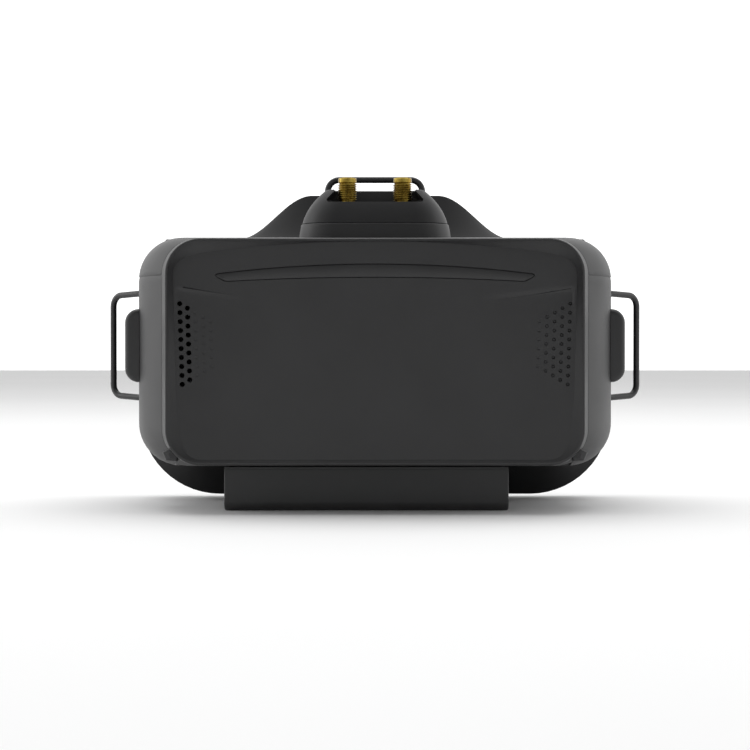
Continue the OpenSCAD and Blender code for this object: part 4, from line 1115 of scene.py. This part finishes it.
class GOGGLES_OT_battery_pack(bpy.types.Operator):
    """Builds the battery pack's tray with its rail slots"""
    bl_idname = "goggles.battery_pack"
    bl_label = "Battery Pack"

    def execute(self, context):
        x0, x1 = PACK_LOW[0], PACK_HIGH[0]
        front, back, top = PACK_LOW[1], PACK_HIGH[1], PACK_HIGH[2]

        def section(x, inset):
            r = 3.0 - inset * 0.6
            f, b, low, high = front + inset, back - inset, inset, top - inset * 0.4
            turn = [(f + r - r * math.cos(math.radians(a)), low + r - r * math.sin(math.radians(a)))
                    for a in range(0, 91, 9)]
            rim = [(b, high - 0.25), (b - 0.25, high), (f + 0.25, high), (f, high - 0.25)]
            return [(x, y, z) for y, z in turn + [(f + b - y, z) for y, z in reversed(turn)] + rim]

        edge = 0.55
        rings = [section(x0, edge)]
        for angle in (30, 60, 90):
            a = math.radians(angle)
            rings.append(section(x0 + edge - edge * math.cos(a), edge - edge * math.sin(a)))
        for angle in (90, 60, 30, 0):
            a = math.radians(angle)
            rings.append(section(x1 - edge + edge * math.cos(a), edge - edge * math.sin(a)))
        tray = new_piece("pack_tray", *loft(rings), finish("pack_plastic"))
        lid_z = top - 4.6
        combine(tray, block((x0 + 1.6, front + 1.6, lid_z), (x1 - 1.6, back - 1.6, top + 5)))
        combine(tray, block((x0 + 2.8, front + 2.8, 1.6), (x1 - 2.8, back - 2.8, lid_z + 1)))
        for d in RAIL_DEPTHS:
            y = y_of(d)
            slot = [(y - 2.8, FLOOR_Z + 3), (y - 2.8, FLOOR_Z + 0.4), (y - 4.3, FLOOR_Z - 2.9),
                    (y + 4.3, FLOOR_Z - 2.9), (y + 2.8, FLOOR_Z + 0.4), (y + 2.8, FLOOR_Z + 3)]
            combine(tray, new_piece("slot", *prism(slot, "x", x1 - 9, x1 + 5)))
        combine(tray, block((x1 - 9, y_of(34.5), top - 1.8), (x1 + 5, y_of(41.5), top + 5)))
        lip = [(front + 0.05, top - 1), (front + 1.3, top - 1), (front + 1.3, top + 0.55),
               (front + 1.1, top + 0.7), (front + 0.25, top + 0.7), (front + 0.05, top + 0.5)]
        combine(tray, new_piece("lip", *prism(lip, "x", x0 + 0.1, x1 - 0.1)), "UNION")
        finish_mesh(tray)
        place(tray, "battery", "pack_plastic", "battery_tray")
        return {"FINISHED"}


# ---- jog wheels ---------------------------------------------------------------------------------


class GOGGLES_OT_jog_wheels(bpy.types.Operator):
    """Builds the two knurled jog wheels"""
    bl_idname = "goggles.jog_wheels"
    bl_label = "Jog Wheels"

    def execute(self, context):
        low, high = box_mm("right_jog_wheel")
        cy, cz = (low[1] + high[1]) / 2, (low[2] + high[2]) / 2
        radius, ridges = (high[1] - low[1]) / 2, 24
        mid, half = (low[0] + high[0]) / 2, 3.5

        def section(x, r, groove):
            points = []
            for i in range(ridges * 8):
                a = math.tau * i / (ridges * 8)
                phase = i % 8
                q = r - (groove if phase in (3, 4) else groove * 0.55 if phase in (2, 5) else 0)
                points.append((x, cy + q * math.cos(a), cz + q * math.sin(a)))
            return points

        spots = [(low[0], 1.0, 0.0), (low[0] + 0.2, 1.2, 0.0), (mid - half, 1.2, 0.0),
                 (mid - half, radius - 1.6, 0.0), (mid - half + 0.3, radius - 1.0, 0.0),
                 (mid - half + 0.3, radius - 0.5, 0.1), (mid - half + 0.8, radius, 0.45),
                 (mid + half - 0.8, radius, 0.45), (mid + half - 0.3, radius - 0.5, 0.1),
                 (mid + half - 0.3, radius - 1.0, 0.0), (mid + half, radius - 1.6, 0.0),
                 (mid + half, 1.2, 0.0), (high[0] - 0.2, 1.2, 0.0), (high[0], 1.0, 0.0)]
        rings = [section(*spot) for spot in spots]
        right = new_piece("right_wheel", *loft(rings), finish("wheel_rubber"), 40)
        place_pair(right, "{}_jog", "wheel_rubber", "jog_wheel")
        return {"FINISHED"}


# ---- inner parts --------------------------------------------------------------------------------

# The frame's own nodes that keep their shape, by finish.
NODE_FINISH = {
    "screw_steel": "housing_screws bay_screws frame_screws board_screws fan_screws bracket_screws",
    "board_green": "module_board bay_board main_board left_port_board right_port_board",
    "socket_plastic": ("module_plug fan_frame fan_rotor contact_block video_socket power_socket "
                       "power_switch"),
    "header_plastic": "bay_socket",
    "lens_acrylic": "lens",
    "inner_plastic": "light_tunnel display_frame",
    "screen_glass": "display_panel",
    "tinned_steel": "shield_can data_port card_slot",
    "chip_plastic": "processor",
    "jog_plastic": "left_jog_housing right_jog_housing",
    "bracket_plastic": "top_loop_bracket",
    "pack_plastic": "battery_lid",
    "cell_foil": "battery_cells",
    "contact_gold": "pack_terminals contact_blades",
    "button_plastic": "power_button",
}
# Edge radii in millimetres.
ROUNDED = {"left_jog_housing": 0.3, "right_jog_housing": 0.3, "top_loop_bracket": 0.3, "battery_lid": 0.2,
           "power_button": 0.25, "shield_can": 0.3, "fan_frame": 0.2, "video_socket": 0.15,
           "power_socket": 0.15}


class GOGGLES_OT_inner_parts(bpy.types.Operator):
    """Gives the parts that keep their frame shape their finishes and small edge radii"""
    bl_idname = "goggles.inner_parts"
    bl_label = "Inner Parts"

    def execute(self, context):
        for name, key in [(name, key) for key, names in NODE_FINISH.items() for name in names.split()]:
            part = frame["nodes"][name]
            if not part.material_slots:
                part.data.materials.append(finish(key))
            for slot in part.material_slots:
                slot.material = finish(key)
            if name in ROUNDED:
                step = part.modifiers.new("edge_radius", "BEVEL")
                step.width = ROUNDED[name] * MM
                step.segments = 2
                step.limit_method = "ANGLE"
                step.angle_limit = math.radians(35)
        return {"FINISHED"}


# ---- stage --------------------------------------------------------------------------------------


def soft_light(name, spot, aim, size, power):
    data = bpy.data.lights.new(name, "AREA")
    data.shape = "RECTANGLE"
    data.size, data.size_y = size
    data.energy = power
    light = bpy.data.objects.new(name, data)
    light.location = spot
    light.rotation_euler = (Vector(aim) - Vector(spot)).to_track_quat("-Z", "Y").to_euler()
    bpy.context.scene.collection.objects.link(light)


class GOGGLES_OT_stage(bpy.types.Operator):
    """Sets up the pale floor, the soft lights and the camera"""
    bl_idname = "goggles.stage"
    bl_label = "Stage"

    def execute(self, context):
        scene = context.scene
        scene.view_settings.view_transform = "Standard"
        world = bpy.data.worlds.new("studio")
        scene.world = world
        world.use_nodes = True
        tree = world.node_tree
        tree.nodes.clear()
        direction = put(tree, "ShaderNodeTexCoord").outputs["Generated"]
        across, along, up = put(tree, "ShaderNodeSeparateXYZ", {0: direction}).outputs
        over = between(tree, up, 0.85, 0.25, 0.05, 0.5)
        left = between(tree, across, 0.8, 0.0, -0.95, -0.35)
        right = between(tree, across, 0.0, 0.6, 0.35, 0.95)
        sides = put(tree, "ShaderNodeMath", {0: left, 1: right}, operation="ADD").outputs[0]
        front = put(tree, "ShaderNodeMath", {0: over, 1: sides}, operation="ADD").outputs[0]
        behind = between(tree, along, 0.0, 1.0, -0.1, 0.45)
        back = between(tree, up, 1.8, 1.0, 0.35, 0.8)
        level = put(tree, "ShaderNodeMix", {0: behind, 2: front, 3: back}).outputs[0]
        glow = put(tree, "ShaderNodeBackground", {"Strength": level}).outputs[0]
        put(tree, "ShaderNodeOutputWorld", {0: glow})
        corners = [(-4000, -4000, 0), (4000, -4000, 0), (4000, 4000, 0), (-4000, 4000, 0)]
        floor = new_piece("floor", corners, [(0, 1, 2, 3)])
        paint, tree, spot = new_finish("matte_white_sweep")
        shade = put(tree, "ShaderNodeTexNoise", {"Vector": spot, "Scale": 3.0}).outputs[0]
        tone = between(tree, shade, linear("#F6F6F6"), linear("#F8F8F8"))
        floor.data.materials.append(close_finish(paint, tree, tone, 0.9, None, IOR=1.2))
        soft_light("left_strip", (-0.9, 0.15, 0.35), (0, 0, 0.06), (0.25, 0.7), 1.5)
        soft_light("right_strip", (0.9, 0.15, 0.35), (0, 0, 0.06), (0.25, 0.7), 0.7)
        soft_light("overhead", (0, 0.25, 1.3), (0, 0.1, 0), (1.6, 1.2), 11.0)
        camera = bpy.data.objects.new("camera", bpy.data.cameras.new("camera"))
        camera.location = (0, (FRONT_Y - 700) * MM, (AXIS_Z + 2.2) * MM)
        camera.rotation_euler = (math.radians(90 - 0.78), 0, 0)
        camera.data.lens = 2203 / 750 * 36
        camera.data.sensor_width = 36
        camera.data.clip_start = 0.01
        scene.collection.objects.link(camera)
        scene.camera = camera
        return {"FINISHED"}


# ---- panel and registration ---------------------------------------------------------------------

OPERATORS = (
    GOGGLES_OT_stage, GOGGLES_OT_front_cover, GOGGLES_OT_housing, GOGGLES_OT_receiver,
    GOGGLES_OT_antenna_connectors, GOGGLES_OT_face_frame, GOGGLES_OT_face_foam, GOGGLES_OT_strap_loops,
    GOGGLES_OT_strap_brackets, GOGGLES_OT_battery_pack, GOGGLES_OT_jog_wheels, GOGGLES_OT_inner_parts,
)


class GOGGLES_PT_build(bpy.types.Panel):
    """Lists the goggles' operators, sizes and colours"""
    bl_idname = "GOGGLES_PT_build"
    bl_label = "FPV Goggles"
    bl_space_type = "VIEW_3D"
    bl_region_type = "UI"
    bl_category = "Goggles"

    def draw(self, context):
        for group in (context.scene.goggles_sizes, context.scene.goggles_colours):
            box = self.layout.box()
            for key in group.__annotations__:
                box.prop(group, key)
        for kind in OPERATORS:
            self.layout.operator(kind.bl_idname)


CLASSES = (GogglesSizes, GogglesColours) + OPERATORS + (GOGGLES_PT_build,)


def register():
    for kind in CLASSES:
        bpy.utils.register_class(kind)
    bpy.types.Scene.goggles_sizes = PointerProperty(type=GogglesSizes)
    bpy.types.Scene.goggles_colours = PointerProperty(type=GogglesColours)


def unregister():
    del bpy.types.Scene.goggles_colours
    del bpy.types.Scene.goggles_sizes
    for kind in reversed(CLASSES):
        bpy.utils.unregister_class(kind)


def main():
    register()
    for kind in OPERATORS:
        group, action = kind.bl_idname.split(".")
        getattr(getattr(bpy.ops, group), action)()


if __name__ == "__main__":
    main()
